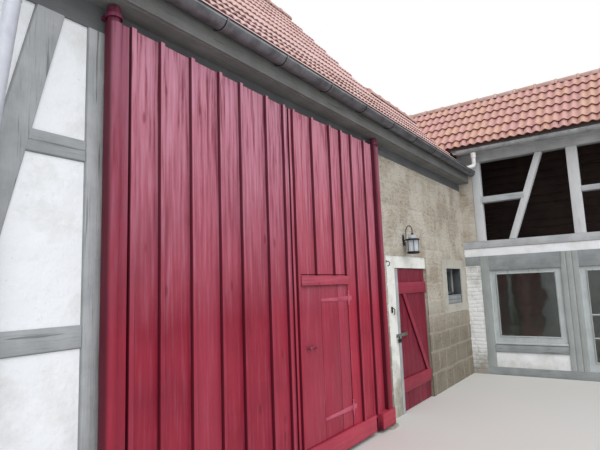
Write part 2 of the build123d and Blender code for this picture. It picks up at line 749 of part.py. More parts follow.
with BuildPart() as corner_pier:
    block((0, STONE_WALL), (FIRST_POST[1], 0), (0, CORNER_PIER_TOP))
save(corner_pier, "corner_pier")

with BuildPart() as wing_lower_frame:
    block((0, FRAME), (WING_END, FIRST_POST[1]), (0, BASE_TOP))
    for post in POSTS:
        block((0, FRAME), post, (BASE_TOP, HEAD_BEAM[1]))
    for turn, bay in enumerate(BAYS):
        if turn != GLAZED_DOOR_BAY:
            block((0, FRAME), bay, WINDOW_SILL)
        block((0, FRAME), bay, HEAD_BEAM)
    block((0, FRAME), (FIRST_POST[1], 0), (CORNER_PIER_TOP, HEAD_BEAM[1]))
save(wing_lower_frame, "wing_lower_frame")

with BuildPart() as wing_plaster:
    panel_x = (PLASTER_BACK, FRAME - PLASTER_BACK)
    for turn, bay in enumerate(BAYS):
        if turn != GLAZED_DOOR_BAY:
            block(panel_x, bay, (BASE_TOP, WINDOW_SILL[0]))
    block(panel_x, WING_LENGTH, (HEAD_BEAM[1], GALLERY_SILL[0]))
    block(panel_x, (GALLERY_POSTS[0][1], 0), (GALLERY_SILL[1], GALLERY_PLATE[0]))
save(wing_plaster, "wing_plaster")

with BuildPart() as wing_sashes:
    for turn, bay in enumerate(BAYS):
        foot = BASE_TOP if turn == GLAZED_DOOR_BAY else WINDOW_SILL[1]
        glass_foot = DOOR_GLASS_FOOT if turn == GLAZED_DOOR_BAY else GLASS_FOOT
        light = (bay[0] + SASH_STILE, bay[1] - SASH_STILE)
        block(SASH_X, bay, (foot, HEAD_BEAM[0]))
        block(SASH_X, light, (glass_foot, GLASS_HEAD), mode=Mode.SUBTRACT)
        if turn == GLAZED_DOOR_BAY:
            middle = sum(bay) / 2
            block(SASH_X, (middle - SASH_STILE / 2, middle + SASH_STILE / 2), (glass_foot, GLASS_HEAD))
save(wing_sashes, "wing_sashes")

with BuildPart() as wing_glass:
    for turn, bay in enumerate(BAYS):
        glass_foot = DOOR_GLASS_FOOT if turn == GLAZED_DOOR_BAY else GLASS_FOOT
        block(PANE_X, (bay[0] + SASH_STILE, bay[1] - SASH_STILE), (glass_foot, GLASS_HEAD))
    add(wing_sashes.part, mode=Mode.SUBTRACT)
save(wing_glass, "wing_glass")

# Wing, gallery
with BuildPart() as gallery_floor:
    block((FRAME, WING_DEPTH - PLAIN_WALL), (WING_END + FRAME, 0), GALLERY_SILL)
save(gallery_floor, "gallery_floor")

with BuildPart() as gallery_frame:
    block((0, FRAME), WING_LENGTH, GALLERY_SILL)
    for post in GALLERY_POSTS:
        block((0, FRAME), post, (GALLERY_SILL[1], GALLERY_PLATE[0]))
    plate_section = [
        (0, GALLERY_PLATE[0]),
        (FRAME, GALLERY_PLATE[0]),
        (FRAME, wing_top(FRAME) - WING_DROP),
        (0, wing_top(0) - WING_DROP),
    ]
    along_y(plate_section, *WING_LENGTH)
    along_x(leaning(*GALLERY_BRACE, GALLERY_BRACE_WIDTH), 0, FRAME)
    brace_foot, brace_head = GALLERY_BRACE
    rail_end = brace_foot[0] + (brace_head[0] - brace_foot[0]) * (
        (LEFT_RAIL[0] - brace_foot[1]) / (brace_head[1] - brace_foot[1])
    )
    block((0, FRAME), (rail_end, GALLERY_POSTS[0][0]), LEFT_RAIL)
    for left, right in zip(GALLERY_POSTS[1:], GALLERY_POSTS[2:]):
        block((0, FRAME), (right[1], left[0]), RIGHT_RAIL)
save(gallery_frame, "gallery_frame")

# Wing, plain walls on the hidden sides
with BuildPart() as wing_back_wall:
    wall_outline = [
        (WING_DEPTH - PLAIN_WALL, 0),
        (WING_DEPTH, 0),
        (WING_DEPTH, wing_top(WING_DEPTH) - WING_DROP),
        (WING_DEPTH - PLAIN_WALL, wing_top(WING_DEPTH - PLAIN_WALL) - WING_DROP),
    ]
    along_y(wall_outline, WING_END, WING_REAR)
save(wing_back_wall, "wing_back_wall")


def wing_gable(inner_x):
    """Outline of an end wall of the wing, from the given place to the back wall."""
    outer_x = WING_DEPTH - PLAIN_WALL
    return [
        (inner_x, 0),
        (outer_x, 0),
        (outer_x, wing_top(outer_x) - WING_DROP),
        (WING_RIDGE[0], WING_RIDGE[1] - WING_DROP),
        (inner_x, wing_top(inner_x) - WING_DROP),
    ]


with BuildPart() as wing_yard_gable:
    along_y(wing_gable(FRAME), WING_END, WING_END + FRAME)
save(wing_yard_gable, "wing_yard_gable")

with BuildPart() as wing_rear_gable:
    along_y(wing_gable(0), WING_REAR - PLAIN_WALL, WING_REAR)
save(wing_rear_gable, "wing_rear_gable")

# Eaves of the wing
WING_SOFFIT_X = -200
WING_FASCIA_X = WING_SOFFIT_X - FASCIA_THICK
WING_FASCIA_LIP = 12
WING_FASCIA_TOP = 4395
WING_EAVES_END = 100

with BuildPart() as wing_eaves:
    eaves_length = (WING_END - WING_VERGE, WING_EAVES_END)
    soffit_z = (GALLERY_PLATE[1], GALLERY_PLATE[1] + FASCIA_THICK)
    fascia_z = (GALLERY_PLATE[1] - WING_FASCIA_LIP, WING_FASCIA_TOP)
    block((WING_SOFFIT_X, 0), eaves_length, soffit_z)
    block((WING_FASCIA_X, WING_SOFFIT_X), eaves_length, fascia_z)
    add(link_roof_front.part, mode=Mode.SUBTRACT)
save(wing_eaves, "wing_eaves")

with BuildPart() as wing_gutter:
    trough_start = WING_END - WING_VERGE
    across = Plane(
        origin=(WING_GUTTER_X, trough_start, WING_GUTTER_Z), x_dir=(-1, 0, 0), z_dir=(0, 1, 0)
    )
    half_round(across, WING_GUTTER_RADIUS, GUTTER_SHEET, WING_GUTTER_END - trough_start)
    for end in (0, WING_GUTTER_END - trough_start - GUTTER_SHEET):
        half_round(across.offset(end), WING_GUTTER_RADIUS, WING_GUTTER_RADIUS - 1, GUTTER_SHEET)
save(wing_gutter, "wing_gutter")

with BuildPart() as rain_elbow:
    spout_z = WING_GUTTER_Z - WING_GUTTER_RADIUS
    with BuildLine() as route:
        FilletPolyline(
            (WING_GUTTER_X, ELBOW_Y, spout_z),
            (WING_GUTTER_X, ELBOW_Y, spout_z - ELBOW_BEND),
            (WING_GUTTER_X - ELBOW_OUT, GUTTER_Y, spout_z - ELBOW_DROP),
            radius=ELBOW_ROUNDING,
        )
    with BuildSketch(Plane(origin=(WING_GUTTER_X, ELBOW_Y, spout_z), z_dir=(0, 0, -1))):
        Circle(ELBOW_RADIUS)
    sweep(path=route.line)
    with Locations((WING_GUTTER_X, ELBOW_Y, spout_z - ELBOW_SOCKET[1] / 2)):
        Cylinder(*ELBOW_SOCKET)
save(rain_elbow, "rain_elbow")
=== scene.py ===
import logging
import math
from dataclasses import dataclass, field
from enum import Enum
from functools import partial
from typing import Any, Callable, Iterable

import bmesh
import bpy
import numpy as np
from mathutils import Matrix, Vector
from numpy.typing import ArrayLike, NDArray


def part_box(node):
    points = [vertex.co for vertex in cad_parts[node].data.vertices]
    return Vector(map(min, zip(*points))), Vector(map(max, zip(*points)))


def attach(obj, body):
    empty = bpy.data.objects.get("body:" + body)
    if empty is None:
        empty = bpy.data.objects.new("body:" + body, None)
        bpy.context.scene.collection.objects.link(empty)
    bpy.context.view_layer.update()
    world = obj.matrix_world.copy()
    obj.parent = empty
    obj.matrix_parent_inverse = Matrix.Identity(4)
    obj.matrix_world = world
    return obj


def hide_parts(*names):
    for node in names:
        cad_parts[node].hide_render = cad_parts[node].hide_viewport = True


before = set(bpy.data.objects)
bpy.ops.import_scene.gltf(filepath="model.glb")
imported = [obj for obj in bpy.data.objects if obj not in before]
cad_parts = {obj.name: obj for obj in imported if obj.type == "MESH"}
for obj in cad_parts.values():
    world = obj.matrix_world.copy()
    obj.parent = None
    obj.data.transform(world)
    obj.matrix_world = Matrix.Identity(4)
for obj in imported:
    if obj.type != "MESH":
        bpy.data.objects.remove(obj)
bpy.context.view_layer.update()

Array = NDArray[np.float64]
Span = tuple[float, float]
Spot = tuple[float, float, float]
Profile = tuple[Span, ...]
Hole = tuple[float, float, float, float]
Shape = Callable[[Array, Array], Array]
NodeMaker = Callable[..., bpy.types.Node]
log = logging.getLogger("farmhouse")

# The ways that turned pieces and sheets face: up, and out of the barn's front.
UP, OUT = (0.0, 0.0, 1.0), (0.0, -1.0, 0.0)

# Faces that meet at more than this are drawn with an edge between them.
SHARP_ANGLE = math.radians(38)

# The yard corner, where the stone wall meets the wing. Every size below is in metres from it:
# x runs along the barn, y runs into it and z is up.
CORNER = np.array([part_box("wing_lower_frame")[0].x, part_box("stone_wall_right")[0].y, 0.0])


class Body(Enum):
    """The rigid bodies that pieces ride on."""

    HOUSE = "house"
    LEFT_DOOR = "left_door"
    RIGHT_DOOR = "right_door"
    WICKET = "wicket"
    SMALL_DOOR = "small_door"


class Grain(Enum):
    """The way that the grain of a timber runs, as cells per cell across the grain."""

    UPRIGHT = (1.0, 1.0, 0.05)
    ALONG_BARN = (0.05, 1.0, 1.0)
    ALONG_WING = (1.0, 0.05, 1.0)


def smooth_step(low: float, high: float, value: ArrayLike) -> Array:
    """Rise from 0 at low to 1 at high, level at both ends: 3 t^2 - 2 t^3."""
    t = np.clip((np.asarray(value, float) - low) / (high - low), 0.0, 1.0)
    return t * t * (3.0 - 2.0 * t)


def value_noise(x: Array, y: Array, seed: int) -> Array:
    """Smooth random heights over a plane, from -1 to 1.

    A random number stands at each whole-number crossing. Between four of them the height is
    their blend, weighted by the smooth step of the fractions of x and y.

    Args:
        x: First coordinate, in cells.
        y: Second coordinate, in cells.
        seed: Picks the random numbers.

    Returns:
        One height per point.
    """
    table = np.random.default_rng(seed).uniform(-1.0, 1.0, (64, 64))
    x, y = np.broadcast_arrays(x, y)
    column, row = np.floor(x).astype(int), np.floor(y).astype(int)
    across, up = smooth_step(0, 1, x - column), smooth_step(0, 1, y - row)
    corners = [table[(column + i) % 64, (row + j) % 64] for j in (0, 1) for i in (0, 1)]
    near = corners[0] * (1 - across) + corners[1] * across
    far = corners[2] * (1 - across) + corners[3] * across
    return near * (1 - up) + far * up


def points_at(x: ArrayLike, y: ArrayLike, z: ArrayLike) -> Array:
    """Points from their coordinates, where a single value holds for all of them."""
    return np.stack(np.broadcast_arrays(*(np.asarray(v, float) for v in (x, y, z))), axis=-1)


@dataclass
class Surface:
    """Points from the yard corner, faces, and numbers at the points that a finish reads."""

    points: Array
    faces: list[list[int]]
    marks: dict[str, Array] = field(default_factory=dict)

    def marked(self, **values: float) -> "Surface":
        """Give every point the same number under each name."""
        for name, value in values.items():
            self.marks[name] = np.full(len(self.points), float(value))
        return self

    def facing(self, way: ArrayLike) -> "Surface":
        """Turn an open sheet so that its faces look the given way on the whole."""
        quads = np.array(self.faces)
        corners = self.points[quads]
        looks = np.cross(corners[:, 2] - corners[:, 0], corners[:, 3] - corners[:, 1]).sum(axis=0)
        if looks @ np.asarray(way, float) < 0:
            self.faces = quads[:, ::-1].tolist()
        return self


def joined(parts: Iterable[Surface]) -> Surface:
    """Put several surfaces into one. A mark that a part lacks is 0 there."""
    parts = list(parts)
    starts = np.cumsum([0] + [len(part.points) for part in parts])
    faces = [[i + int(start) for i in face] for part, start in zip(parts, starts) for face in part.faces]
    names = {name for part in parts for name in part.marks}
    marks = {
        name: np.concatenate([part.marks.get(name, np.zeros(len(part.points))) for part in parts])
        for name in names
    }
    return Surface(np.concatenate([part.points for part in parts]), faces, marks)


def sheet(across: Array, up: Array, shape: Shape) -> Surface:
    """Make a sheet from a function of two parameters on a grid.

    Args:
        across: Values of the first parameter.
        up: Values of the second parameter.
        shape: Gives the points (rows, columns, 3) for the two parameter grids.

    Returns:
        The sheet, with one quad between each four neighbours.
    """
    first, second = np.meshgrid(across, up)
    points = shape(first, second).reshape(-1, 3)
    index = np.arange(first.size).reshape(first.shape)
    quads = np.stack([index[:-1, :-1], index[:-1, 1:], index[1:, 1:], index[1:, :-1]], axis=-1)
    return Surface(points, quads.reshape(-1, 4).tolist())


def swept(path: Array, sections: Array) -> Surface:
    """Carry a closed section along a path, with flat ends.

    Args:
        path: Centres (n, 3) of the sections.
        sections: The section at each centre, as offsets (n, k, 3).

    Returns:
        The closed tube: point j at station i is path[i] + sections[i, j].
    """
    stations, sides = sections.shape[:2]
    index = np.arange(stations * sides).reshape(stations, sides)
    after = np.roll(index, -1, axis=1)
    quads = np.stack([index[:-1], after[:-1], after[1:], index[1:]], axis=-1)
    faces = quads.reshape(-1, 4).tolist() + [index[0, ::-1].tolist(), index[-1].tolist()]
    return Surface((path[:, None, :] + sections).reshape(-1, 3), faces)


def timber(
    start: ArrayLike, end: ArrayLike, size: Span, rounding: float = 0.006, wave: float = 0.001,
    seed: int = 0,
) -> Surface:
    """A sawn length with rounded arrises and slightly wavy faces.

    The section is a rectangle with quarter-circle corners, in the plane of the two axes across
    the length's main direction, so a leaning one is cut level. It is carried from start to end,
    and each of its points is pushed out by smooth noise along the length.

    Args:
        start: Middle of the first end.
        end: Middle of the other end.
        size: Width and depth along the two axes of the section, in the order x, y, z.
        rounding: Radius of the arrises.
        wave: Height of the waviness.
        seed: Picks the waviness and the tint.

    Returns:
        The closed length, with its tint under the mark board. The mark shelter is 1 on the side
        that is painted darker as shade: the one towards -x of an upright, the lower one of any other.
    """
    start, end = np.asarray(start, float), np.asarray(end, float)
    axis = int(np.abs(end - start).argmax())
    first, second = [k for k in range(3) if k != axis]
    radius = min(rounding, 0.45 * min(size))
    angle = np.radians([[0, 45, 90], [90, 135, 180], [180, 225, 270], [270, 315, 360]]).ravel()
    section = np.zeros((12, 3))
    section[:, first] = np.repeat([1, -1, -1, 1], 3) * (size[0] / 2 - radius) + radius * np.cos(angle)
    section[:, second] = np.repeat([1, 1, -1, -1], 3) * (size[1] / 2 - radius) + radius * np.sin(angle)
    share = np.linspace(0.0, 1.0, max(2, int(np.linalg.norm(end - start) / 0.3)))
    path = start + share[:, None] * (end - start)
    outward = section / np.linalg.norm(section, axis=1, keepdims=True)
    push = wave * value_noise(path[:, axis, None] * 1.7 + 7.3 * seed, np.arange(12) * 0.6 + seed, seed)
    length = swept(path, section + outward * push[..., None])
    length.marked(board=math.sin(seed * 12.9898 + start[first] * 78.2) * 43758.5 % 1.0)
    # Painted shade: the side of the length away from the light is marked to be painted darker.
    shelter = np.zeros(12)
    shelter[slice(4, 8) if axis == 2 else slice(7, 11)] = 1.0
    length.marks["shelter"] = np.tile(shelter, len(path))
    return length


def squared(
    x: Span, y: Span, z: Span, rounding: float = 0.006, wave: float = 0.001, seed: int = 0
) -> Surface:
    """A length of timber that fills a box and runs along its longest side."""
    limits = np.array([x, y, z], float)
    sides = np.abs(np.ptp(limits, axis=1))
    axis = int(sides.argmax())
    start, end = limits.mean(axis=1), limits.mean(axis=1)
    start[axis], end[axis] = limits[axis]
    return timber(start, end, tuple(np.delete(sides, axis)), rounding, wave, seed)


def turned(centre: ArrayLike, axis: ArrayLike, profile: ArrayLike, sides: int = 20) -> Surface:
    """A round piece, from a profile of (distance along the axis, radius) turned about it.

    Each ring is centre + distance * axis + radius * (cos a * side + sin a * other side).
    """
    axis, profile = np.asarray(axis, float), np.asarray(profile, float)
    side = np.cross(axis, [1.0, 0.0, 0.0] if abs(axis[2]) > 0.9 else [0.0, 0.0, 1.0])
    side /= np.linalg.norm(side)
    angle = np.linspace(0, 2 * np.pi, sides, endpoint=False)[:, None]
    ring = np.cos(angle) * side + np.sin(angle) * np.cross(axis, side)
    return swept(np.asarray(centre, float) + profile[:, :1] * axis, profile[:, 1, None, None] * ring)


def rod(path: ArrayLike, radius: ArrayLike, sides: int = 10) -> Surface:
    """A round bar along a path: a ring square to the path at each of its points."""
    path = np.asarray(path, float)
    ahead = np.gradient(path, axis=0)
    ahead /= np.linalg.norm(ahead, axis=1, keepdims=True)
    helper = np.eye(3)[np.abs(ahead).max(axis=0).argmin()]
    side = np.cross(ahead, helper)
    side /= np.linalg.norm(side, axis=1, keepdims=True)
    angle = np.linspace(0, 2 * np.pi, sides, endpoint=False)[None, :, None]
    ring = np.cos(angle) * side[:, None] + np.sin(angle) * np.cross(ahead, side)[:, None]
    return swept(path, np.broadcast_to(radius, len(path))[:, None, None] * ring)


def add_object(name: str, data: bpy.types.ID) -> bpy.types.Object:
    """Put data into the scene as an object."""
    made = bpy.data.objects.new(name, data)
    bpy.context.scene.collection.objects.link(made)
    return made


def place(
    name: str, surface: Surface, finish: "Finish", body: Body = Body.HOUSE,
    closed: bool = True,
) -> bpy.types.Object:
    """Put a surface into the scene as a piece that rides on a body.

    Args:
        name: The piece's name.
        surface: Its shape, from the yard corner.
        finish: What it is made of.
        body: The body that carries it.
        closed: Whether it is made of closed solids, whose faces are then turned outwards.

    Returns:
        The new piece.
    """
    mesh = bpy.data.meshes.new(name)
    mesh.from_pydata((surface.points + CORNER).tolist(), [], surface.faces)
    for mark, values in surface.marks.items():
        mesh.attributes.new(mark, "FLOAT", "POINT").data.foreach_set("value", values.astype(np.float32))
    if closed:
        solid = bmesh.new()
        solid.from_mesh(mesh)
        bmesh.ops.recalc_face_normals(solid, faces=solid.faces)
        solid.to_mesh(mesh)
        solid.free()
    mesh.shade_smooth()
    mesh.set_sharp_from_angle(angle=SHARP_ANGLE)
    mesh.materials.append(finish.material())
    piece = add_object(name, mesh)
    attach(piece, body.value)
    log.info("%s: %d faces, rides on %s", name, len(surface.faces), body.value)
    return piece


def linear(code: str) -> tuple[float, float, float, float]:
    """Turn an sRGB hex colour into the linear one that shaders use."""
    parts = np.array([int(code[i : i + 2], 16) for i in (1, 3, 5)]) / 255
    value = np.where(parts <= 0.04045, parts / 12.92, ((parts + 0.055) / 1.055) ** 2.4)
    return (*value.tolist(), 1.0)


def add_node(
    tree: bpy.types.NodeTree, kind: str, inputs: dict[str | int, Any] | None = None, **settings: Any
) -> bpy.types.Node:
    """Add a node with its settings, and set or link its inputs.

    Args:
        tree: The node tree.
        kind: The node's type.
        inputs: By name or number: a socket or node to link, a hex colour, or a plain value. Of
            a node, the first output in use is linked.
        settings: The node's own options.

    Returns:
        The new node.
    """
    node = tree.nodes.new(kind)
    for name, value in settings.items():
        setattr(node, name, value)
    for key, value in (inputs or {}).items():
        if isinstance(value, bpy.types.Node):
            value = next(socket for socket in value.outputs if socket.enabled)
        if isinstance(value, bpy.types.NodeSocket):
            tree.links.new(value, node.inputs[key])
        else:
            node.inputs[key].default_value = linear(value) if isinstance(value, str) else value
    return node


def fresh_tree(owner: bpy.types.Material | bpy.types.World) -> bpy.types.NodeTree:
    """Switch on the nodes of a material or world and start with none."""
    owner.use_nodes = True
    owner.node_tree.nodes.clear()
    return owner.node_tree


# Inputs by number: a map range has its value (0), the limits that it comes from (1, 2) and those
# that it goes to (3, 4), and a mix has its share (0) and its two colours (6, 7).
NOISE, MAP_RANGE, MIX = "ShaderNodeTexNoise", "ShaderNodeMapRange", "ShaderNodeMix"
BUMP, SHADER, MARK = "ShaderNodeBump", "ShaderNodeBsdfPrincipled", "ShaderNodeAttribute"
MATH, MAPPING, SEPARATE = "ShaderNodeMath", "ShaderNodeMapping", "ShaderNodeSeparateXYZ"
COLOURS, TIMES = {"data_type": "RGBA"}, {"operation": "MULTIPLY"}


@dataclass(frozen=True)
class Finish:
    """A surface finish. Each kind of material adds its own nodes."""

    name: str
    colour: str

    def material(self) -> bpy.types.Material:
        """Give the material, made on its first use."""
        made = bpy.data.materials.get(self.name)
        if made is None:
            made = bpy.data.materials.new(self.name)
            made.diffuse_color = linear(self.colour)
            node = partial(add_node, fresh_tree(made))
            shader = self.shade(node, node("ShaderNodeTexCoord").outputs["Object"])
            node("ShaderNodeOutputMaterial", {"Surface": shader})
        return made

    def shade(self, node: NodeMaker, spot: bpy.types.NodeSocket) -> bpy.types.Node:
        """Add the nodes, which read the object coordinates from spot, and return the shader."""
        raise NotImplementedError

    def dress(self, *nodes: str) -> None:
        """Give this finish to nodes of the frame."""
        for name in nodes:
            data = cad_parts[name].data
            data.materials.clear()
            data.materials.append(self.material())


@dataclass(frozen=True)
class OilPaint(Finish):
    """Linseed oil paint brushed on sawn spruce.

    It follows the grain in fine ridges, grows paler towards the top where sky and sun reach it,
    partly by fading and partly as a painted sheen of the sky with painted glints along the grain,
    shows knots through the film, and keeps a satin sheen.
    """

    # The paler colour at the top: fading paint with a painted sheen of the sky.
    faded_with_sheen: str
    deep: str
    bright: str = "#B84A5E"
    # The colour of the painted shade on the marked side of a timber.
    shaded: str = "#45091B"
    grain: Grain = Grain.UPRIGHT
    # The real grain is a few millimetres wide: drawn coarser, as streaks that show from the yard.
    grain_mm: float = 26.0
    # Heights over which the paint grows paler: partly fading, partly a painted sheen of the sky.
    fade_and_sheen: Span = (1.5, 3.6)
    roughness: float = 0.46

    def shade(self, node: NodeMaker, spot: bpy.types.NodeSocket) -> bpy.types.Node:
        """Grain stretched along the board, blotches, knots, and paler paint with height.

        The paling is fading with a painted sheen of the sky; the marked side gets painted shade.
        """
        fine = tuple(1000 / self.grain_mm * share for share in self.grain.value)
        along = node(MAPPING, {"Vector": spot, "Scale": fine})
        grain = node(NOISE, {"Vector": along, "Scale": 1.0, "Detail": 6.0, "Roughness": 0.6})
        blotch = node(NOISE, {"Vector": spot, "Scale": 2.1, "Detail": 4.0, "Roughness": 0.6})
        height = node(SEPARATE, {0: spot}).outputs["Z"]
        # Paler towards the top: fading, and a painted sheen of the sky.
        fade_and_sheen = node(MAP_RANGE, {0: height, 1: self.fade_and_sheen[0], 2: self.fade_and_sheen[1], 4: 0.8})
        tint = node(MARK, attribute_name="board").outputs["Fac"]
        cells = node(MAPPING, {"Vector": spot, "Scale": (5.5, 5.5, 1.9)})
        knots = node("ShaderNodeTexVoronoi", {"Vector": cells, "Scale": 1.0})
        knot = node(MAP_RANGE, {0: knots, 1: 0.11, 2: 0.05, 4: 0.55})
        patch = node(MAP_RANGE, {0: blotch, 1: 0.35, 2: 0.68, 4: 0.45})
        pale = node(MAP_RANGE, {0: tint, 1: 0.3, 2: 1.0, 4: 0.45})
        # The grain shows more towards the top: weathering, and painted glints of the sky along it.
        wear_and_sheen = node(MAP_RANGE, {0: fade_and_sheen, 2: 0.7, 3: 0.12, 4: 1.0})
        dark = node(MAP_RANGE, {0: grain, 1: 0.51, 2: 0.66, 4: 0.85})
        light = node(MAP_RANGE, {0: grain, 1: 0.49, 2: 0.34, 4: 0.75})
        line = node(MATH, {0: dark, 1: wear_and_sheen}, **TIMES)
        # Pale lines along the grain towards the top, in the paler colour: painted glints.
        grain_glint = node(MATH, {0: light, 1: wear_and_sheen}, **TIMES)
        # Painted shade on the marked side of each timber, in the shaded colour.
        shelter = node(MARK, attribute_name="shelter").outputs["Fac"]
        grime_and_shade = node(MATH, {0: shelter, 1: 0.9}, **TIMES)
        base = node(MIX, {0: patch, 6: self.colour, 7: self.deep}, **COLOURS)
        layers = (
            (pale, self.bright), (fade_and_sheen, self.faded_with_sheen), (line, self.deep), (grain_glint, self.faded_with_sheen),
            (knot, self.deep), (grime_and_shade, self.shaded),
        )
        for share, colour in layers:
            base = node(MIX, {0: share, 6: base, 7: colour}, **COLOURS)
        rough = node(MAP_RANGE, {0: blotch, 3: self.roughness - 0.08, 4: self.roughness + 0.16})
        relief = node(BUMP, {"Height": grain, "Distance": 0.003})
        settings = {"Roughness": rough, "Specular IOR Level": 0.25}
        return node(SHADER, {"Base Color": base, "Normal": relief, **settings})


@dataclass(frozen=True)
class GreyTimber(Finish):
    """Hewn oak under weathered grey-green paint: dry cracks along the grain, pale patches of wear,
    and painted shade on the side of a timber away from the light.
    """

    pale: str
    crack: str
    grain: Grain = Grain.UPRIGHT
    # Coarser than the real grain, so that its lines show from the yard.
    grain_mm: float = 16.0

    def shade(self, node: NodeMaker, spot: bpy.types.NodeSocket) -> bpy.types.Node:
        """Two widths of grain, the wider one opened into cracks, over patches of wear."""
        fine = tuple(1000 / self.grain_mm * share for share in self.grain.value)
        along = node(MAPPING, {"Vector": spot, "Scale": fine})
        grain = node(NOISE, {"Vector": along, "Scale": 1.0, "Detail": 5.0, "Roughness": 0.65})
        wide = node(NOISE, {"Vector": along, "Scale": 0.4, "Detail": 3.0})
        wear = node(NOISE, {"Vector": spot, "Scale": 3.1, "Detail": 5.0, "Roughness": 0.62})
        patch = node(MAP_RANGE, {0: wear, 1: 0.38, 2: 0.66})
        line = node(MAP_RANGE, {0: grain, 1: 0.55, 2: 0.78, 4: 0.55})
        crack = node(MAP_RANGE, {0: wide, 1: 0.33, 2: 0.28, 4: 0.55})
        # Painted shade on the marked side of each timber, in the crack colour.
        shelter = node(MARK, attribute_name="shelter").outputs["Fac"]
        grime_and_shade = node(MATH, {0: shelter, 1: 0.45}, **TIMES)
        base = node(MIX, {0: patch, 6: self.colour, 7: self.pale}, **COLOURS)
        for share in (line, crack, grime_and_shade):
            base = node(MIX, {0: share, 6: base, 7: self.crack}, **COLOURS)
        depth = node(MATH, {0: grain, 1: crack}, operation="SUBTRACT")
        relief = node(BUMP, {"Height": depth, "Distance": 0.004})
        return node(SHADER, {"Base Color": base, "Roughness": 0.72, "Normal": relief})


@dataclass(frozen=True)
class LimePlaster(Finish):
    """Lime plaster brushed with limewash: soft hollows, small pits, and damp near the ground."""

    damp: str
    pit_mm: float = 9.0
    damp_to: float = 0.5
    stained: float = 0.35

    def shade(self, node: NodeMaker, spot: bpy.types.NodeSocket) -> bpy.types.Node:
        """Trowel hollows and pits, and a stain that is strongest at the foot."""
        pitch = 1000 / self.pit_mm / 3
        hollow = node(NOISE, {"Vector": spot, "Scale": 4.5, "Detail": 3.0})
        pits = node(NOISE, {"Vector": spot, "Scale": pitch, "Detail": 5.0, "Roughness": 0.7})
        stain = node(NOISE, {"Vector": spot, "Scale": 2.4, "Detail": 6.0, "Roughness": 0.65})
        height = node(SEPARATE, {0: spot}).outputs["Z"]
        rise = node(MAP_RANGE, {0: height, 1: self.damp_to, 2: 0.0, 4: 0.3})
        wet = node(MATH, {0: stain, 1: rise}, operation="ADD")
        share = node(MAP_RANGE, {0: wet, 1: 0.50, 2: 0.82, 4: self.stained * 2})
        pit = node(MAP_RANGE, {0: pits, 1: 0.62, 2: 0.8, 4: 0.6})
        base = node(MIX, {0: share, 6: self.colour, 7: self.damp}, **COLOURS)
        base = node(MIX, {0: pit, 6: base, 7: self.damp}, **COLOURS)
        soft = node(BUMP, {"Height": hollow, "Distance": 0.02})
        relief = node(BUMP, {"Height": pits, "Distance": 0.004, "Normal": soft})
        settings = {"Roughness": 0.9, "Specular IOR Level": 0.25}
        return node(SHADER, {"Base Color": base, "Normal": relief, **settings})


@dataclass(frozen=True)
class FieldStone(Finish):
    """Hewn sandstone in lime mortar that is smeared over the edges of its blocks."""

    brown: str
    mortar: str
    damp: str = "#6B6152"
    grit: str = "#665C50"
    # Sand grains are about 1 mm: drawn coarser, as the pocks that they leave.
    grit_mm: float = 20.0

    def shade(self, node: NodeMaker, spot: bpy.types.NodeSocket) -> bpy.types.Node:
        """A tint per block, mortar where the mesh marks a joint, bedding, grit and stains."""
        block = node(MARK, attribute_name="block").outputs["Fac"]
        joint = node(MARK, attribute_name="joint").outputs["Fac"]
        bed = node(MAPPING, {"Vector": spot, "Scale": (8.0, 8.0, 34.0)})
        pitch = 1000 / self.grit_mm
        cloud = node(NOISE, {"Vector": spot, "Scale": 1.9, "Detail": 5.0, "Roughness": 0.6})
        layer = node(NOISE, {"Vector": bed, "Scale": 1.0, "Detail": 5.0, "Roughness": 0.6})
        grit = node(NOISE, {"Vector": spot, "Scale": pitch, "Detail": 5.0, "Roughness": 0.75})
        wash = node(MAP_RANGE, {0: cloud, 1: 0.56, 2: 0.42, 4: 0.75})
        line = node(MAP_RANGE, {0: layer, 1: 0.48, 2: 0.68, 4: 0.8})
        speck = node(MAP_RANGE, {0: grit, 1: 0.52, 2: 0.68, 4: 0.75})
        smear = node(MATH, {0: joint, 1: 0.28}, **TIMES)
        height = node(SEPARATE, {0: spot}).outputs["Z"]
        uneven = node(MATH, {0: cloud, 1: height}, operation="ADD")
        damp = node(MAP_RANGE, {0: uneven, 1: 2.0, 2: 1.3, 4: 0.72})
        tint = node(MATH, {0: block, 1: 0.45}, **TIMES)
        base = node(MIX, {0: tint, 6: self.colour, 7: self.brown}, **COLOURS)
        layers = (
            (line, self.brown), (wash, self.mortar), (damp, self.damp), (smear, self.mortar),
            (speck, self.grit),
        )
        for share, colour in layers:
            base = node(MIX, {0: share, 6: base, 7: colour}, **COLOURS)
        coarse = node(BUMP, {"Height": layer, "Distance": 0.012})
        relief = node(BUMP, {"Height": grit, "Distance": 0.010, "Normal": coarse})
        settings = {"Roughness": 0.92, "Specular IOR Level": 0.2}
        return node(SHADER, {"Base Color": base, "Normal": relief, **settings})


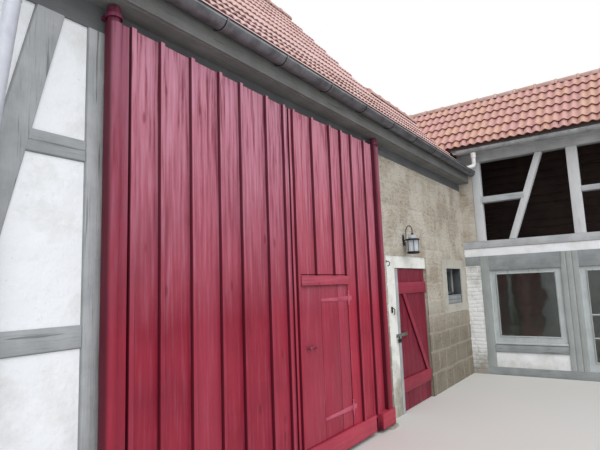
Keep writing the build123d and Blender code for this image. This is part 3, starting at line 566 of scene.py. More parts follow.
@dataclass(frozen=True)
class FiredClay(Finish):
    """Matt fired clay: a tint per tile, with painted shade in the hollows and under the laps."""

    orange: str
    # The dark colour of the mottling and of the painted shade.
    soot_and_shade: str

    def shade(self, node: NodeMaker, spot: bpy.types.NodeSocket) -> bpy.types.Node:
        """A tint per tile, mottling, and painted shade where the mesh marks a hollow."""
        tile = node(MARK, attribute_name="tile").outputs["Fac"]
        hollow = node(MARK, attribute_name="hollow").outputs["Fac"]
        mottle = node(NOISE, {"Vector": spot, "Scale": 14.0, "Detail": 5.0, "Roughness": 0.65})
        grain = node(NOISE, {"Vector": spot, "Scale": 160.0, "Detail": 3.0})
        patch = node(MAP_RANGE, {0: mottle, 1: 0.56, 2: 0.80, 4: 0.7})
        # Painted shade in the hollows and under the noses, as the mesh marks it.
        dirt_and_shade = node(MATH, {0: hollow, 1: 0.85}, **TIMES)
        base = node(MIX, {0: tile, 6: self.colour, 7: self.orange}, **COLOURS)
        for share in (patch, dirt_and_shade):
            base = node(MIX, {0: share, 6: base, 7: self.soot_and_shade}, **COLOURS)
        relief = node(BUMP, {"Height": grain, "Distance": 0.002})
        settings = {"Roughness": 0.78, "Specular IOR Level": 0.35}
        return node(SHADER, {"Base Color": base, "Normal": relief, **settings})


@dataclass(frozen=True)
class Metal(Finish):
    """Sheet zinc, forged iron or pressed glass: a cloudy film with marks of the given size."""

    patina: str
    metallic: float
    roughness: float
    mark_mm: float = 12.0

    def shade(self, node: NodeMaker, spot: bpy.types.NodeSocket) -> bpy.types.Node:
        """A cloudy patina, with dents or hammer marks as relief."""
        pitch = 1000 / self.mark_mm
        cloud = node(NOISE, {"Vector": spot, "Scale": 7.0, "Detail": 6.0, "Roughness": 0.65})
        marks = node(NOISE, {"Vector": spot, "Scale": pitch, "Detail": 2.0})
        share = node(MAP_RANGE, {0: cloud, 1: 0.40, 2: 0.66})
        base = node(MIX, {0: share, 6: self.colour, 7: self.patina}, **COLOURS)
        relief = node(BUMP, {"Height": marks, "Distance": 0.001})
        settings = {"Metallic": self.metallic, "Roughness": self.roughness}
        return node(SHADER, {"Base Color": base, "Normal": relief, **settings})


@dataclass(frozen=True)
class WindowGlass(Finish):
    """Drawn window glass: clear, faintly green and slightly uneven."""

    def shade(self, node: NodeMaker, spot: bpy.types.NodeSocket) -> bpy.types.Node:
        """Full transmission with a slow ripple."""
        ripple = node(NOISE, {"Vector": spot, "Scale": 3.0, "Detail": 2.0})
        relief = node(BUMP, {"Height": ripple, "Distance": 0.003})
        settings = {"Roughness": 0.03, "IOR": 1.5, "Transmission Weight": 1.0}
        return node(SHADER, {"Base Color": self.colour, "Normal": relief, **settings})


@dataclass(frozen=True)
class PipePlastic(Finish):
    """Moulded white drain plastic, satin, with a film of grime."""

    grime_and_shade: str

    def shade(self, node: NodeMaker, spot: bpy.types.NodeSocket) -> bpy.types.Node:
        """A clean colour under soft grime."""
        film = node(NOISE, {"Vector": spot, "Scale": 9.0, "Detail": 4.0})
        share = node(MAP_RANGE, {0: film, 1: 0.50, 2: 0.75})
        base = node(MIX, {0: share, 6: self.colour, 7: self.grime_and_shade}, **COLOURS)
        return node(SHADER, {"Base Color": base, "Roughness": 0.35})


# Red paint: deep at the foot, chalky pink under the eaves from fading and a painted sheen of the
# sky, streaked along the boards. The right leaf and the level boards get lighter copies of the
# paint, as painted light for the light that they catch. The small door's paint is younger and
# darker, and its level boards are painted lighter in the same way.
RED = OilPaint("red_oil_paint", "#9C2A3E", "#CC90A4", "#6C182C")
RED_RIGHT = OilPaint("red_oil_paint_right_leaf", "#AC3044", "#CC8C9E", "#7A1C30", bright="#C04C60")
RED_LEVEL = OilPaint(
    "red_oil_paint_level_boards", "#B23A4C", "#CC8C9E", "#7A1C30", grain=Grain.ALONG_BARN
)
POST_RED = OilPaint("red_oil_paint_on_posts", "#98283C", "#966074", "#681628", grain_mm=30.0)
HIGH_RED = OilPaint("dull_red_paint_at_the_collars", "#6A2036", "#74304A", "#481020", grain_mm=30.0)
SMALL_RED = OilPaint(
    "dark_red_oil_paint", "#7E2034", "#8A3046", "#541020", bright="#882A3E", fade_and_sheen=(1.4, 2.6)
)
SMALL_LEVEL = OilPaint(
    "dark_red_oil_paint_level_boards", "#9C3246", "#A44056", "#641626", bright="#A43C50",
    grain=Grain.ALONG_BARN, fade_and_sheen=(1.4, 2.6),
)
# Grey timber: cool and cracked on the barn, nearly white on the gallery, grey-green below it,
# and darker where the eaves shade it, as painted shade. Smoked timber reads as the dark inside
# and under the tiles.
GREY_POST = GreyTimber("grey_timber_upright", "#9C9FA0", "#B4B6B8", "#50504C")
GREY_RAIL = GreyTimber("grey_timber_along_barn", "#939697", "#A9ACAE", "#4E4F4C", Grain.ALONG_BARN)
WING_POST = GreyTimber("pale_grey_timber_upright", "#DCE0E3", "#E8EBEE", "#A4A5A1")
WING_BEAM = GreyTimber("pale_grey_timber_along_wing", "#A6AAAC", "#BDC0C2", "#5E5F5B", Grain.ALONG_WING)
LOWER_POST = GreyTimber("grey_green_timber_upright", "#B2B9B9", "#C3C9C9", "#72766F")
LOWER_BEAM = GreyTimber(
    "grey_green_timber_along_wing", "#868B8C", "#9A9FA0", "#4C4E4B", Grain.ALONG_WING
)
# Slate grey paint of the small window, also used for a dark sheet on its reveal as painted shade.
WINDOW_GREY = GreyTimber("slate_grey_window_paint_and_shade", "#4A5052", "#6C7479", "#23282A")
EAVES_BOARD = GreyTimber("grey_eaves_boards", "#6E6E6C", "#7C7C7A", "#3A3936", Grain.ALONG_BARN)
PLATE_DARK = GreyTimber("dark_grey_wall_plate", "#5E6062", "#6A6C6E", "#3A3A3A", Grain.ALONG_BARN)
DARK_TIMBER = GreyTimber("smoked_brown_timber", "#3A2B26", "#4A3832", "#1C1412", Grain.ALONG_WING)
# Limewash: bright on the panels, greyer with stains on the walls that nobody paints, and with
# the damp climbing higher on stone and brick.
PLASTER = LimePlaster("white_lime_plaster", "#F1F3F5", "#C2C0B8")
OUTER_PLASTER = LimePlaster("lime_plaster_of_plain_walls", "#DAD8D0", "#A8A396")
PALE_STONE = LimePlaster("limewashed_dressed_stone", "#ECECE6", "#9C9789", 14.0, 0.9, 0.5)
BRICK = LimePlaster("limewashed_brick", "#E8E9E8", "#8F8A80", 20.0, 0.6, 0.45)
SURROUND = LimePlaster("dressed_stone_of_window", "#BDB9AE", "#8A8578", 14.0, 0.9, 0.5)
# Warm grey-brown blocks with pale joints, darker where damp climbs from the yard.
STONE = FieldStone("sandstone_blocks_in_lime_mortar", "#C0B6A7", "#968976", "#D0CABE")
# Pinkish clay on the barn, redder on the wing, and bleached on the ridges.
TILE = FiredClay("clay_roof_tiles", "#DDBCB9", "#D9B4AA", "#54302F")
WING_TILE = FiredClay("clay_pantiles", "#D2A39E", "#D8AE98", "#6B352F")
RIDGE_TILE = FiredClay("weathered_ridge_tiles", "#CDB2AB", "#CBA497", "#6E4A42")
# Zinc turns from a dull dark gutter to the pale bluish pipe, whose colour is its zinc grey with
# a painted reflection of the sky. Iron stays black.
ZINC = Metal("dull_zinc_sheet", "#7C7B80", "#5C5B60", 0.6, 0.42, 60.0)
PALE_ZINC = Metal("pale_zinc_sheet", "#A9ACAD", "#878B8D", 0.4, 0.55, 60.0)
BLUE_ZINC = Metal("bluish_zinc_pipe", "#D4D7E0", "#C2C6D1", 0.2, 0.5, 60.0)
FROSTED = Metal("frosted_ribbed_glass", "#C6CBD0", "#8E949B", 0.0, 0.3, 25.0)
IRON = Metal("black_forged_iron", "#1B2025", "#30353A", 0.6, 0.5)
BRIGHT_IRON = Metal("galvanised_iron", "#9A9B92", "#6E6C62", 0.8, 0.45)
PAINTED_IRON = Metal("iron_under_red_paint", "#C05C70", "#A84258", 0.0, 0.42)
DARK_PAINTED_IRON = Metal("iron_under_dark_red_paint", "#6E1C30", "#A24A5E", 0.0, 0.40)
# Clear panes show the dark rooms. The small window's pane is dusty, so less light comes back.
GLASS = WindowGlass("drawn_window_glass", "#D5E0DD")
DUSTY_GLASS = WindowGlass("dusty_window_glass", "#6E7A76")
# The one clean white spot under the eaves.
PIPE = PipePlastic("white_pipe_plastic", "#DFE0DE", "#B5B4AE")


@dataclass(frozen=True)
class TileKind:
    """The shape of one kind of roof tile, in metres.

    A tile shows a width and a gauge, swells between its hollows, and its nose lies on the tile
    below. Its swell shrinks to a share of itself towards its head.
    """

    width: float
    rolls: int
    gauge: float
    rise: float
    lap: float
    nose: float
    head: float
    sharpness: float
    shift: float
    first: float
    overhang: float
    droop: float
    lift: float = 0.013

    def rows(self, reach: float) -> Array:
        """The rows of points up a slope of the given length.

        A course starts in the dark under its nose, comes out round the nose, and runs up to the
        dark under the next one. The eave course is cut short and droops over the gutter.

        Returns:
            For each row its course, its place in the course as a share of the gauge, how many
            noses it lies below the tile's face, and how dark its place is, as painted shade under the
            noses.
        """
        recess, eave = 0.02 / self.gauge, 1.0 - (self.first + self.overhang) / self.gauge
        # Each row: place in the course, noses below the face, and painted shade there.
        parts = np.array([
            [recess, 1.0, 1.0], [0.0, 1.0, 0.8], [0.0, 0.0, 0.0], [0.10, 0.0, 0.0], [0.40, 0.0, 0.0],
            [0.75, 0.0, 0.1], [0.97, 0.0, 0.7], [1.0 + recess, 0.0, 1.0],
        ])
        fall = self.droop / self.nose
        under = 1.0 - self.first / self.gauge
        lip = np.array([[under, 1.0 + fall, 1.0], [eave, 1.0 + fall, 0.5], [eave, fall, 0.0]])
        eave_course = np.concatenate([lip, parts[3:][parts[3:, 0] > eave + 0.05]])
        courses = [np.insert(eave_course, 0, 0.0, axis=1)]
        for course in range(1, int((reach - self.first) / self.gauge) + 2):
            courses.append(np.insert(parts, 0, course, axis=1))
        rows = np.concatenate(courses)
        return rows[self.up(rows[:, 0], rows[:, 1]) < reach - 0.002]

    def up(self, course: Array, run: Array) -> Array:
        """Distance up the slope of a place in a course."""
        return self.first + (course - 1.0 + run) * self.gauge

    def relief(self, across: Array, course: Array, run: Array) -> tuple[Array, Array, Array]:
        """Height of the tiles over their slope.

        Across a tile it is rise * (1 - |cos(pi * roll)| ** sharpness), with a narrow hollow
        beside each roll. Up a tile the swell shrinks to its head's, and the whole falls in a
        line by the lap.

        Args:
            across: Distance along the eaves.
            course: Number of the course.
            run: Place in the course, as a share of the gauge.

        Returns:
            The height, a random tint per tile, and how deep in a hollow a point lies.
        """
        tile = (across - self.shift) / self.width
        wave = 1.0 - np.abs(np.cos(np.pi * tile * self.rolls)) ** self.sharpness
        # The fraction of a large multiple of a sine looks random from one tile to the next.
        chance = np.floor(tile + 0.5 * (course % 2)) * 12.9898 + course * 78.233
        tint = np.abs(np.sin(chance) * 43758.5453) % 1.0
        swell = 1.0 - (1.0 - self.head) * np.clip(run, 0.0, 1.0)
        height = self.lift + self.rise * wave * swell + self.lap * (1.0 - run) + 0.004 * tint
        return height, tint, (1.0 - wave) ** 2


@dataclass
class TiledSlope:
    """A slope of tiles over a roof slab, up bends that are places on the slab's top."""

    name: str
    kind: TileKind
    finish: Finish
    along: Spot
    span: Span
    bends: list[Spot]
    keep: Callable[[Array], Array] | None = None
    samples: int = 6
    # Painted shade on the tiles: shade is its share under the noses outside the hollows, gully the
    # darkening of the hollows, and wash how much of that under the noses thins up the slope.
    shade: float = 0.2
    verge: float = 0.030
    gully: float = 0.35
    wash: float = 0.0

    def build(self) -> bpy.types.Object:
        """Lay the tiles: the slope raised by their relief, with its sides turned down."""
        along, bends = np.array(self.along), np.array(self.bends)
        steps = np.linalg.norm(np.diff(bends, axis=0), axis=1)
        reach = np.concatenate([[0.0], np.cumsum(steps)])
        slopes = np.diff(bends, axis=0) / steps[:, None]
        normals = np.cross(along, slopes)
        normals *= np.sign(normals[:, 2:])
        low, high = self.span
        count = int((high - low) / (self.kind.width / self.kind.rolls) * self.samples)
        across = np.concatenate([[low], np.linspace(low + 1e-4, high - 1e-4, count), [high]])
        rows = self.kind.rows(float(reach[-1]))
        course, run, under, dark = rows.T
        marks: dict[str, Array] = {}

        def shape(first: Array, second: Array) -> Array:
            """Place each sample on the bent slope and raise it along the slope's normal."""
            row = second.astype(int)
            up = self.kind.up(course[row], run[row])
            part = np.clip(np.searchsorted(reach, up, side="right") - 1, 0, len(slopes) - 1)
            foot = bends[part] + slopes[part] * (up - reach[part])[..., None] + first[..., None] * along
            height, tint, hollow = self.kind.relief(first, course[row], run[row])
            height = height - self.kind.nose * under[row]
            side = (first <= low) | (first >= high)
            blend = smooth_step(-0.3, 0.3, up - reach[1])[..., None]
            normal = normals[0] * (1 - blend) + normals[-1] * blend
            # Painted shade under the noses, thinned higher up the slope, and in the hollows.
            shade_left_up_slope = 1.0 - self.wash * smooth_step(1.2, 2.4, up)
            soot_and_shade = self.gully * hollow + shade_left_up_slope * dark[row] * (self.shade + (1.0 - self.shade) * hollow)
            marks.update(tile=tint.ravel(), hollow=np.clip(soot_and_shade, 0.0, 1.0).ravel())
            return foot + normal * np.where(side, -self.verge, height)[..., None]

        slope = sheet(across, np.arange(len(rows), dtype=float), shape)
        slope.marks = marks
        if self.keep is not None:
            faces = np.array(slope.faces)
            slope.faces = faces[self.keep(slope.points)[faces].all(axis=1)].tolist()
        slope = slope.facing(UP)
        return place(self.name, slope, self.finish, closed=False)


@dataclass
class RoofDeck:
    """The boarding under a slope of tiles, in place of the plain slab.

    Its section lies between the slope's bends moved down by the two drops, and is carried along
    x to where the end function puts each corner.
    """

    name: str
    replaced: str
    bends: list[Spot]
    start: float
    end: Callable[[Array], Array]
    drops: Span = (0.112, 0.130)

    def build(self) -> bpy.types.Object:
        """Close the section's outline and sweep it."""
        top, under = (np.array(self.bends) - [0.0, 0.0, drop] for drop in self.drops)
        section = np.concatenate([top, under[::-1]])
        ends = np.stack([section, section])
        ends[0, :, 0], ends[1, :, 0] = self.start, self.end(section)
        deck = swept(np.zeros((2, 3)), ends)
        piece = place(self.name, deck, DARK_TIMBER)
        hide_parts(self.replaced)
        return piece


@dataclass
class RidgeTiles:
    """A row of half-round ridge tiles, each with a collar over the next one's tail."""

    name: str
    start: Spot
    end: Spot
    finish: Finish
    replaced: str
    length: float = 0.40
    radius: float = 0.096
    taper: float = 0.010
    bead: float = 0.012
    collar: float = 0.13

    def build(self) -> bpy.types.Object:
        """Carry a half circle along the ridge.

        Its radius is the tail's, plus a slow taper towards the collar and the collar's bead.
        """
        start, end = np.array(self.start), np.array(self.end)
        reach = np.linalg.norm(end - start)
        along = (end - start) / reach
        level = np.cross(along, UP)
        count = max(1, round(reach / self.length))
        parts = np.array([0.0, 0.02, 0.05, 0.09, 0.12, 0.13, 0.5, 0.96, 0.999])
        stations = np.append(((np.arange(count)[:, None] + parts) / count).ravel(), 1.0)
        stations = np.concatenate([[0.0], stations, [1.0]])
        run = (stations * count) % 1.0
        bead = self.bead * np.sin(np.pi * np.clip(run / self.collar, 0, 1)) ** 0.5
        radius = self.radius + self.taper * (1 - run) + bead
        radius[[0, -1]] = 0.02
        radius[-2] = self.radius
        angle = np.linspace(-0.12, np.pi + 0.12, 15)
        tint = np.abs(np.sin(np.floor(stations * count) * 12.99 + start[0]) * 43758.5) % 1.0

        def shape(first: Array, second: Array) -> Array:
            """Place each sample on its circle about the ridge line."""
            size = np.interp(second, np.arange(len(radius)), radius)[..., None]
            spot = start + along * (stations[second.astype(int)] * reach)[..., None]
            turn = first[..., None]
            return spot + size * (np.cos(turn) * level + np.sin(turn) * np.array(UP))

        row = sheet(angle, np.arange(len(stations), dtype=float), shape)
        soot_and_shade = smooth_step(self.collar, 0.16, run) * 0.3
        row.marks = {"tile": np.repeat(tint, len(angle)), "hollow": np.repeat(soot_and_shade, len(angle))}
        row = row.facing(UP)
        piece = place(self.name, row, self.finish, closed=False)
        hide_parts(self.replaced)
        return piece


@dataclass
class Roofs:
    """Every tiled slope and ridge. Places are (y, z) for the barn and (x, z) for the wing."""

    barn_tile: TileKind = TileKind(
        width=0.200, rolls=2, gauge=0.455, rise=0.022, lap=0.016, nose=0.012, head=0.5,
        sharpness=4.0, shift=0.043, first=0.345, overhang=0.065, droop=0.0, lift=-0.050,
    )
    wing_tile: TileKind = TileKind(
        width=0.147, rolls=1, gauge=0.385, rise=0.036, lap=0.026, nose=0.013, head=0.9,
        sharpness=1.8, shift=0.0, first=0.12, overhang=0.060, droop=0.034,
    )
    eave: Span = (-0.220, 4.050)
    main_slope: float = math.tan(math.radians(50.5))
    bell_slope: float = math.tan(math.radians(46.3))
    link_ridge: Span = (1.232, 5.643)
    ridge_y: float = 3.080
    barn_x: Span = (-10.130, -1.430)
    gable_x: float = -1.530
    wing_eave: Span = (-0.275, 4.445)
    wing_slope: float = math.tan(math.radians(40.4))
    wing_ridge_x: float = 1.340
    wing_y: Span = (-5.452, 2.614)
    ridge_sink: float = 0.120
    wing_ridge_sink: float = 0.020
    # The barn's tiles: a deeper verge, and stronger painted shade in the hollows and under the noses.
    barn_looks: dict[str, float] = field(
        default_factory=lambda: {"verge": 0.080, "gully": 0.45, "wash": 0.70, "shade": 0.55}
    )

    def wing_top(self, x: Array | float) -> Array | float:
        """Height of the wing's yard slope at the place x."""
        return self.wing_eave[1] + (x - self.wing_eave[0]) * self.wing_slope

    def over_wing(self, points: Array) -> Array:
        """Whether points lie above the wing's tiles, or just under them, beside the valley."""
        return (points[:, 2] > self.wing_top(points[:, 0]) - 0.03) | (points[:, 0] < self.wing_eave[0])

    def valley(self, points: Array) -> Array:
        """The place along x where each point's level meets the wing's tiles."""
        return self.wing_eave[0] + np.maximum(points[:, 2] - self.wing_eave[1], 0.0) / self.wing_slope

    def places(self, ridge_y: float, behind: bool) -> list[Spot]:
        """The eave, knee and ridge of a slope of the barn or link, front or back."""
        foot = self.link_ridge[1] - self.link_ridge[0] * self.main_slope
        rise = self.bell_slope - self.main_slope
        knee_y = (foot - self.eave[1] + self.eave[0] * self.bell_slope) / rise
        bends = [self.eave, (knee_y, foot + knee_y * self.main_slope)]
        bends.append((ridge_y, foot + ridge_y * self.main_slope))
        return [(0.0, 2 * ridge_y - y if behind else y, z) for y, z in bends]

    def build(self) -> None:
        """Tile the slopes, front and back, then set the ridges."""
        x_way, y_way = (1.0, 0.0, 0.0), (0.0, 1.0, 0.0)
        wing_ridge = (self.wing_ridge_x, self.wing_top(self.wing_ridge_x))
        for behind, side in ((False, "front"), (True, "back")):
            link_x = (self.gable_x if behind else self.barn_x[1], self.wing_ridge_x)
            barn, link = self.places(self.ridge_y, behind), self.places(self.link_ridge[0], behind)
            for name, span, bends, keep in (
                ("barn", self.barn_x, barn, None), ("link", link_x, link, self.over_wing)
            ):
                look = (self.barn_tile, TILE, x_way, span, bends, keep)
                TiledSlope(f"{name}_tiles_{side}", *look, **self.barn_looks).build()
            RoofDeck(
                f"barn_deck_{side}", f"barn_roof_{side}", barn, self.barn_x[0] + 0.02,
                lambda spots: np.full(len(spots), self.barn_x[1] - 0.02),
            ).build()
            RoofDeck(f"link_deck_{side}", f"link_roof_{side}", link, self.gable_x, self.valley).build()
            yard = (self.wing_eave, wing_ridge)
            wing = [(2 * self.wing_ridge_x - x if behind else x, 0.0, z) for x, z in yard]
            look = (self.wing_tile, WING_TILE, y_way, self.wing_y, wing)
            TiledSlope(f"wing_tiles_{side}", *look, samples=8, shade=0.8).build()
        link_end = self.wing_eave[0] + (self.link_ridge[1] - self.wing_eave[1]) / self.wing_slope
        link_start = self.link_ridge[0], self.link_ridge[1] - self.ridge_sink
        ridge = self.ridge_y, self.places(self.ridge_y, False)[2][2] - self.ridge_sink
        wing_z = wing_ridge[1] - self.wing_ridge_sink
        for name, start, end in (
            ("barn", (self.barn_x[0], *ridge), (self.barn_x[1], *ridge)),
            ("link", (self.barn_x[1], *link_start), (link_end, *link_start)),
            ("wing", (wing_ridge[0], self.wing_y[0], wing_z), (wing_ridge[0], self.wing_y[1], wing_z)),
        ):
            RidgeTiles(f"{name}_ridge_tiles", start, end, RIDGE_TILE, f"{name}_ridge_caps").build()
        DARK_TIMBER.dress("wing_roof_front", "wing_roof_back")


@dataclass
class BarnDoors:
    """The pair of board doors on their pivot posts, with the wicket in the right leaf."""

    left_x: Span = (-7.805, -5.942)
    right_x: Span = (-4.093, -5.917)
    leaf_z: Span = (0.040, 3.600)
    sag: float = 0.040
    board_y: Span = (-0.075, -0.045)
    batten_y: Span = (-0.106, -0.072)
    ledge_y: Span = (-0.045, -0.015)
    foot_rail_z: Span = (0.042, 0.232)
    left_battens: tuple[float, ...] = (-7.752, -7.504, -7.210, -6.904, -6.646, -6.290, -6.023)
    right_battens: tuple[float, ...] = (-4.663, -4.327)
    over_wicket: tuple[float, ...] = (-5.522, -5.160, -4.912)
    by_wicket: float = -5.862
    batten_width: float = 0.043
    ledges: tuple[float, ...] = (0.420, 2.000, 3.300)
    ledge_height: float = 0.150
    notch: Spot = (-4.401, -4.299, 0.185)
    wicket_x: Span = (-5.828, -4.895)
    wicket_z: Span = (0.240, 1.880)
    wicket_hole_top: float = 1.888
    wicket_head: Span = (1.771, 1.869)
    wicket_joints: tuple[float, ...] = (-5.450, -5.105)
    straps: tuple[float, ...] = (0.429, 1.618)
    strap_x: Span = (-5.457, -4.902)
    strap_y: Span = (-0.082, -0.075)
    nails: tuple[float, ...] = (-5.430, -5.280, -5.100, -4.940)
    nail: Profile = ((0.0, 0.009), (0.003, 0.008), (0.005, 0.004), (0.0055, 0.001))
    pin_x: float = -4.886
    pin_spot: Span = (-4.889, -0.084)
    pin: Profile = (
        (-0.075, 0.005), (-0.072, 0.0075), (0.068, 0.0075), (0.072, 0.011), (0.082, 0.009),
        (0.085, 0.003),
    )
    knuckle: Profile = ((-0.045, 0.010), (-0.043, 0.0125), (0.043, 0.0125), (0.045, 0.010))
    knob: Profile = ((0.0, 0.013), (0.020, 0.010), (0.028, 0.019), (0.040, 0.018), (0.046, 0.007))
    latch: Span = (-5.722, 1.162)
    shoe_x: Span = (-4.299, -3.952)
    shoe_y: Span = (-0.146, -0.100)
    pivots: Span = (-7.893, -4.005)
    pivot_y: float = -0.075
    post_radius: float = 0.057
    post_face: float = 0.088
    post_y: Span = (-0.120, -0.040)
    post_z: Span = (0.040, 3.570)

    def post(self, name: str, pivot: float, body: Body) -> None:
        """A pivot post: three quarters of a round trunk, with a flat side for the leaf.

        Its outline goes round the trunk from one edge of the flat side to the other. The mark
        shelter, painted shade on the side away from the light, grows where the outline faces -x.
        """
        way = 1.0 if pivot < self.left_x[0] else -1.0
        low, high = (math.asin((y - self.pivot_y) / self.post_radius) for y in self.post_y)
        angle = np.linspace(low, high - 2 * math.pi, 28)
        flat = np.array([[self.post_face, y - self.pivot_y] for y in self.post_y])
        round_part = self.post_radius * np.stack([np.cos(angle), np.sin(angle)], axis=1)
        outline = np.concatenate([flat[:1], round_part, flat[1:]]) * [way, 1.0]
        z = np.linspace(*self.post_z, 14)
        path = points_at(pivot, self.pivot_y, z)
        offsets = np.zeros((14, len(outline), 3))
        swell = 1 + 0.015 * value_noise(z[:, None] * 1.3, np.arange(len(outline)) * 0.3, 9)
        offsets[..., :2] = outline * swell[..., None]
        trunk = swept(path, offsets)
        # Painted shade on the side of the trunk that faces -x.
        facing = np.clip((-outline[:, 0] / np.linalg.norm(outline, axis=1) - 0.5) / 0.3, 0.0, 1.0)
        trunk.marked(board=0.3)
        trunk.marks["shelter"] = np.tile(facing, 14)
        piece = place(name + "_trunk", trunk, POST_RED, body)
        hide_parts(name)

    def sagging(self, parts: Iterable[Surface], x: Span) -> Surface:
        """Join a leaf's parts and let their tops fall in a line from the post to the free edge."""
        leaf = joined(parts)
        share = (leaf.points[:, 0] - x[0]) / (x[1] - x[0])
        top = smooth_step(3.0, self.leaf_z[1], leaf.points[:, 2])
        leaf.points[:, 2] -= self.sag * np.clip(share, 0.0, 1.0) * top
        return leaf

    def upright(self, middle: float, z: Span, seed: int) -> Surface:
        """A cover batten with rounded edges, about the place middle."""
        half = self.batten_width / 2
        return squared((middle - half, middle + half), self.batten_y, z, 0.007, 0.0012, seed)

    def boards(self, edges: Iterable[float], z: Span, seed: int) -> list[Surface]:
        """Upright boards side by side, each between two of the given edges."""
        edges = sorted(edges)
        return [
            squared((low + 0.001, high - 0.001), self.board_y, z, 0.003, 0.0012, seed + turn)
            for turn, (low, high) in enumerate(zip(edges, edges[1:]))
        ]

    def left_leaf(self) -> None:
        """The left leaf: boards joined under the battens, foot rail and ledges."""
        parts = self.boards([self.left_x[0], *self.left_battens[1:], self.left_x[1]], self.leaf_z, 11)
        above_foot = (self.foot_rail_z[1], self.leaf_z[1])
        parts += [self.upright(x, above_foot, 31 + i) for i, x in enumerate(self.left_battens)]
        leaf = self.sagging(parts, self.left_x)
        piece = place("left_leaf_boards", leaf, RED, Body.LEFT_DOOR)
        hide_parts("left_leaf")
        self.level_boards("left_leaf_rails", self.left_x, Body.LEFT_DOOR)

    def level_boards(self, name: str, x: Span, body: Body) -> None:
        """The foot rail in front and the ledges behind."""
        parts = []
        half = self.ledge_height / 2
        for i, height in enumerate(self.ledges):
            cuts = [x]
            if body is Body.RIGHT_DOOR and height < self.wicket_hole_top:
                cuts = [(x[1], self.wicket_x[0] - 0.012), (self.wicket_x[1] + 0.012, x[0])]
            level = (height - half, height + half)
            parts += [squared(cut, self.ledge_y, level, seed=51 + i) for cut in cuts]
        ends = [x] if body is Body.LEFT_DOOR else [(x[1], self.notch[0]), (self.notch[1], x[0])]
        parts += [squared(end, self.batten_y, self.foot_rail_z, 0.010, seed=57) for end in ends]
        if body is Body.RIGHT_DOOR:
            parts.append(squared(self.shoe_x, self.shoe_y, self.foot_rail_z, 0.012, seed=58))
        place(name, joined(parts), RED_LEVEL, body)

    def right_leaf(self) -> None:
        """The right leaf round the wicket's hole, with a notch in its foot."""
        low, high = self.leaf_z
        hole = (self.wicket_x[0] - 0.010, self.wicket_x[1] + 0.010)
        above, whole = (self.wicket_hole_top, high), (low, high)
        runs = (
            ([hole[0], *self.over_wicket[:2], hole[1]], above, 71),
            ([self.right_x[1], hole[0]], whole, 75),
            (hole, (low, self.wicket_z[0] - 0.008), 76),
            ([hole[1], self.right_battens[0], self.notch[0]], whole, 77),
            (self.notch[:2], (self.notch[2], high), 79),
            ([self.notch[1], self.right_x[0]], whole, 80),
        )
        parts = [board for edges, z, seed in runs for board in self.boards(edges, z, seed)]
        parts += [self.upright(x, above, 85 + i) for i, x in enumerate(self.over_wicket)]
        tall = (*self.right_battens, self.by_wicket)
        parts += [self.upright(x, (self.foot_rail_z[1], high), 91 + i) for i, x in enumerate(tall)]
        leaf = self.sagging(parts, self.right_x)
        piece = place("right_leaf_boards", leaf, RED_RIGHT, Body.RIGHT_DOOR)
        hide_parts("right_leaf")
        self.level_boards("right_leaf_rails", self.right_x, Body.RIGHT_DOOR)

    def wicket(self) -> None:
        """The wicket: flat boards, a head batten, and ledges behind."""
        joints = [self.wicket_x[0], *self.wicket_joints, self.wicket_x[1]]
        parts = self.boards(joints, self.wicket_z, 101)
        piece = place("wicket_boards", joined(parts), RED, Body.WICKET)
        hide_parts("wicket_leaf")
        half = self.ledge_height / 2
        heights = (self.ledges[0], self.wicket_z[1] - self.ledge_height)
        rails = [squared(self.wicket_x, self.ledge_y, (z - half, z + half), seed=111) for z in heights]
        rails.append(squared(self.wicket_x, self.batten_y, self.wicket_head, 0.008, seed=112))
        place("wicket_rails", joined(rails), RED_LEVEL, Body.WICKET)

    def ironwork(self) -> None:
        """Tapered strap hinges with rounded tips and nails, their pins, and the wicket's latch."""
        parts, pins = [], []
        share = np.concatenate([np.linspace(0, 0.035, 6), [0.2, 0.5, 0.8, 1.0]])
        tip = np.sqrt(np.clip(1 - (1 - np.clip(share / 0.035, 0, 1)) ** 2, 0.02, 1))
        section = np.array([[-1, 0], [-0.8, 1], [0.8, 1], [1, 0], [1, -1], [-1, -1]], float)
        offsets = np.zeros((len(share), len(section), 3))
        offsets[:, :, 2] = section[:, 0] * (tip * (0.014 + 0.011 * share))[:, None]
        offsets[:, :, 1] = -section[:, 1] * (self.strap_y[1] - self.strap_y[0]) / 2
        middle = sum(self.strap_y) / 2
        for z in self.straps:
            x = self.strap_x[0] + share * (self.strap_x[1] - self.strap_x[0])
            parts.append(swept(points_at(x, middle, z), offsets))
            face = self.strap_y[0] + 0.001
            parts += [turned((x, face, z), OUT, self.nail, 10) for x in self.nails]
            parts.append(turned((*self.pin_spot, z), UP, self.knuckle, 14))
            pins.append(turned((*self.pin_spot, z), UP, self.pin, 14))
            plate = (self.pin_x + 0.006, self.pin_x + 0.073)
            pins.append(squared(plate, self.strap_y, (z - 0.027, z + 0.027), 0.003, 0.0, seed=3))
        straps = place("wicket_strap_hinges", joined(parts), PAINTED_IRON, Body.WICKET)
        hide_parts("wicket_hinges")
        place("wicket_hinge_pins", joined(pins), PAINTED_IRON, Body.RIGHT_DOOR)
        x, z = self.latch
        latch = [
            squared((x - 0.020, x + 0.020), (-0.080, -0.075), (z - 0.034, z + 0.030), 0.004, 0.0),
            turned((x, -0.079, z), OUT, self.knob),
            squared((x + 0.004, x + 0.110), (-0.096, -0.084), (z - 0.004, z + 0.012), 0.004, 0.0),
            turned((x + 0.104, -0.079, z + 0.004), OUT, self.knob),
        ]
        place("wicket_latch", joined(latch), DARK_PAINTED_IRON, Body.WICKET)

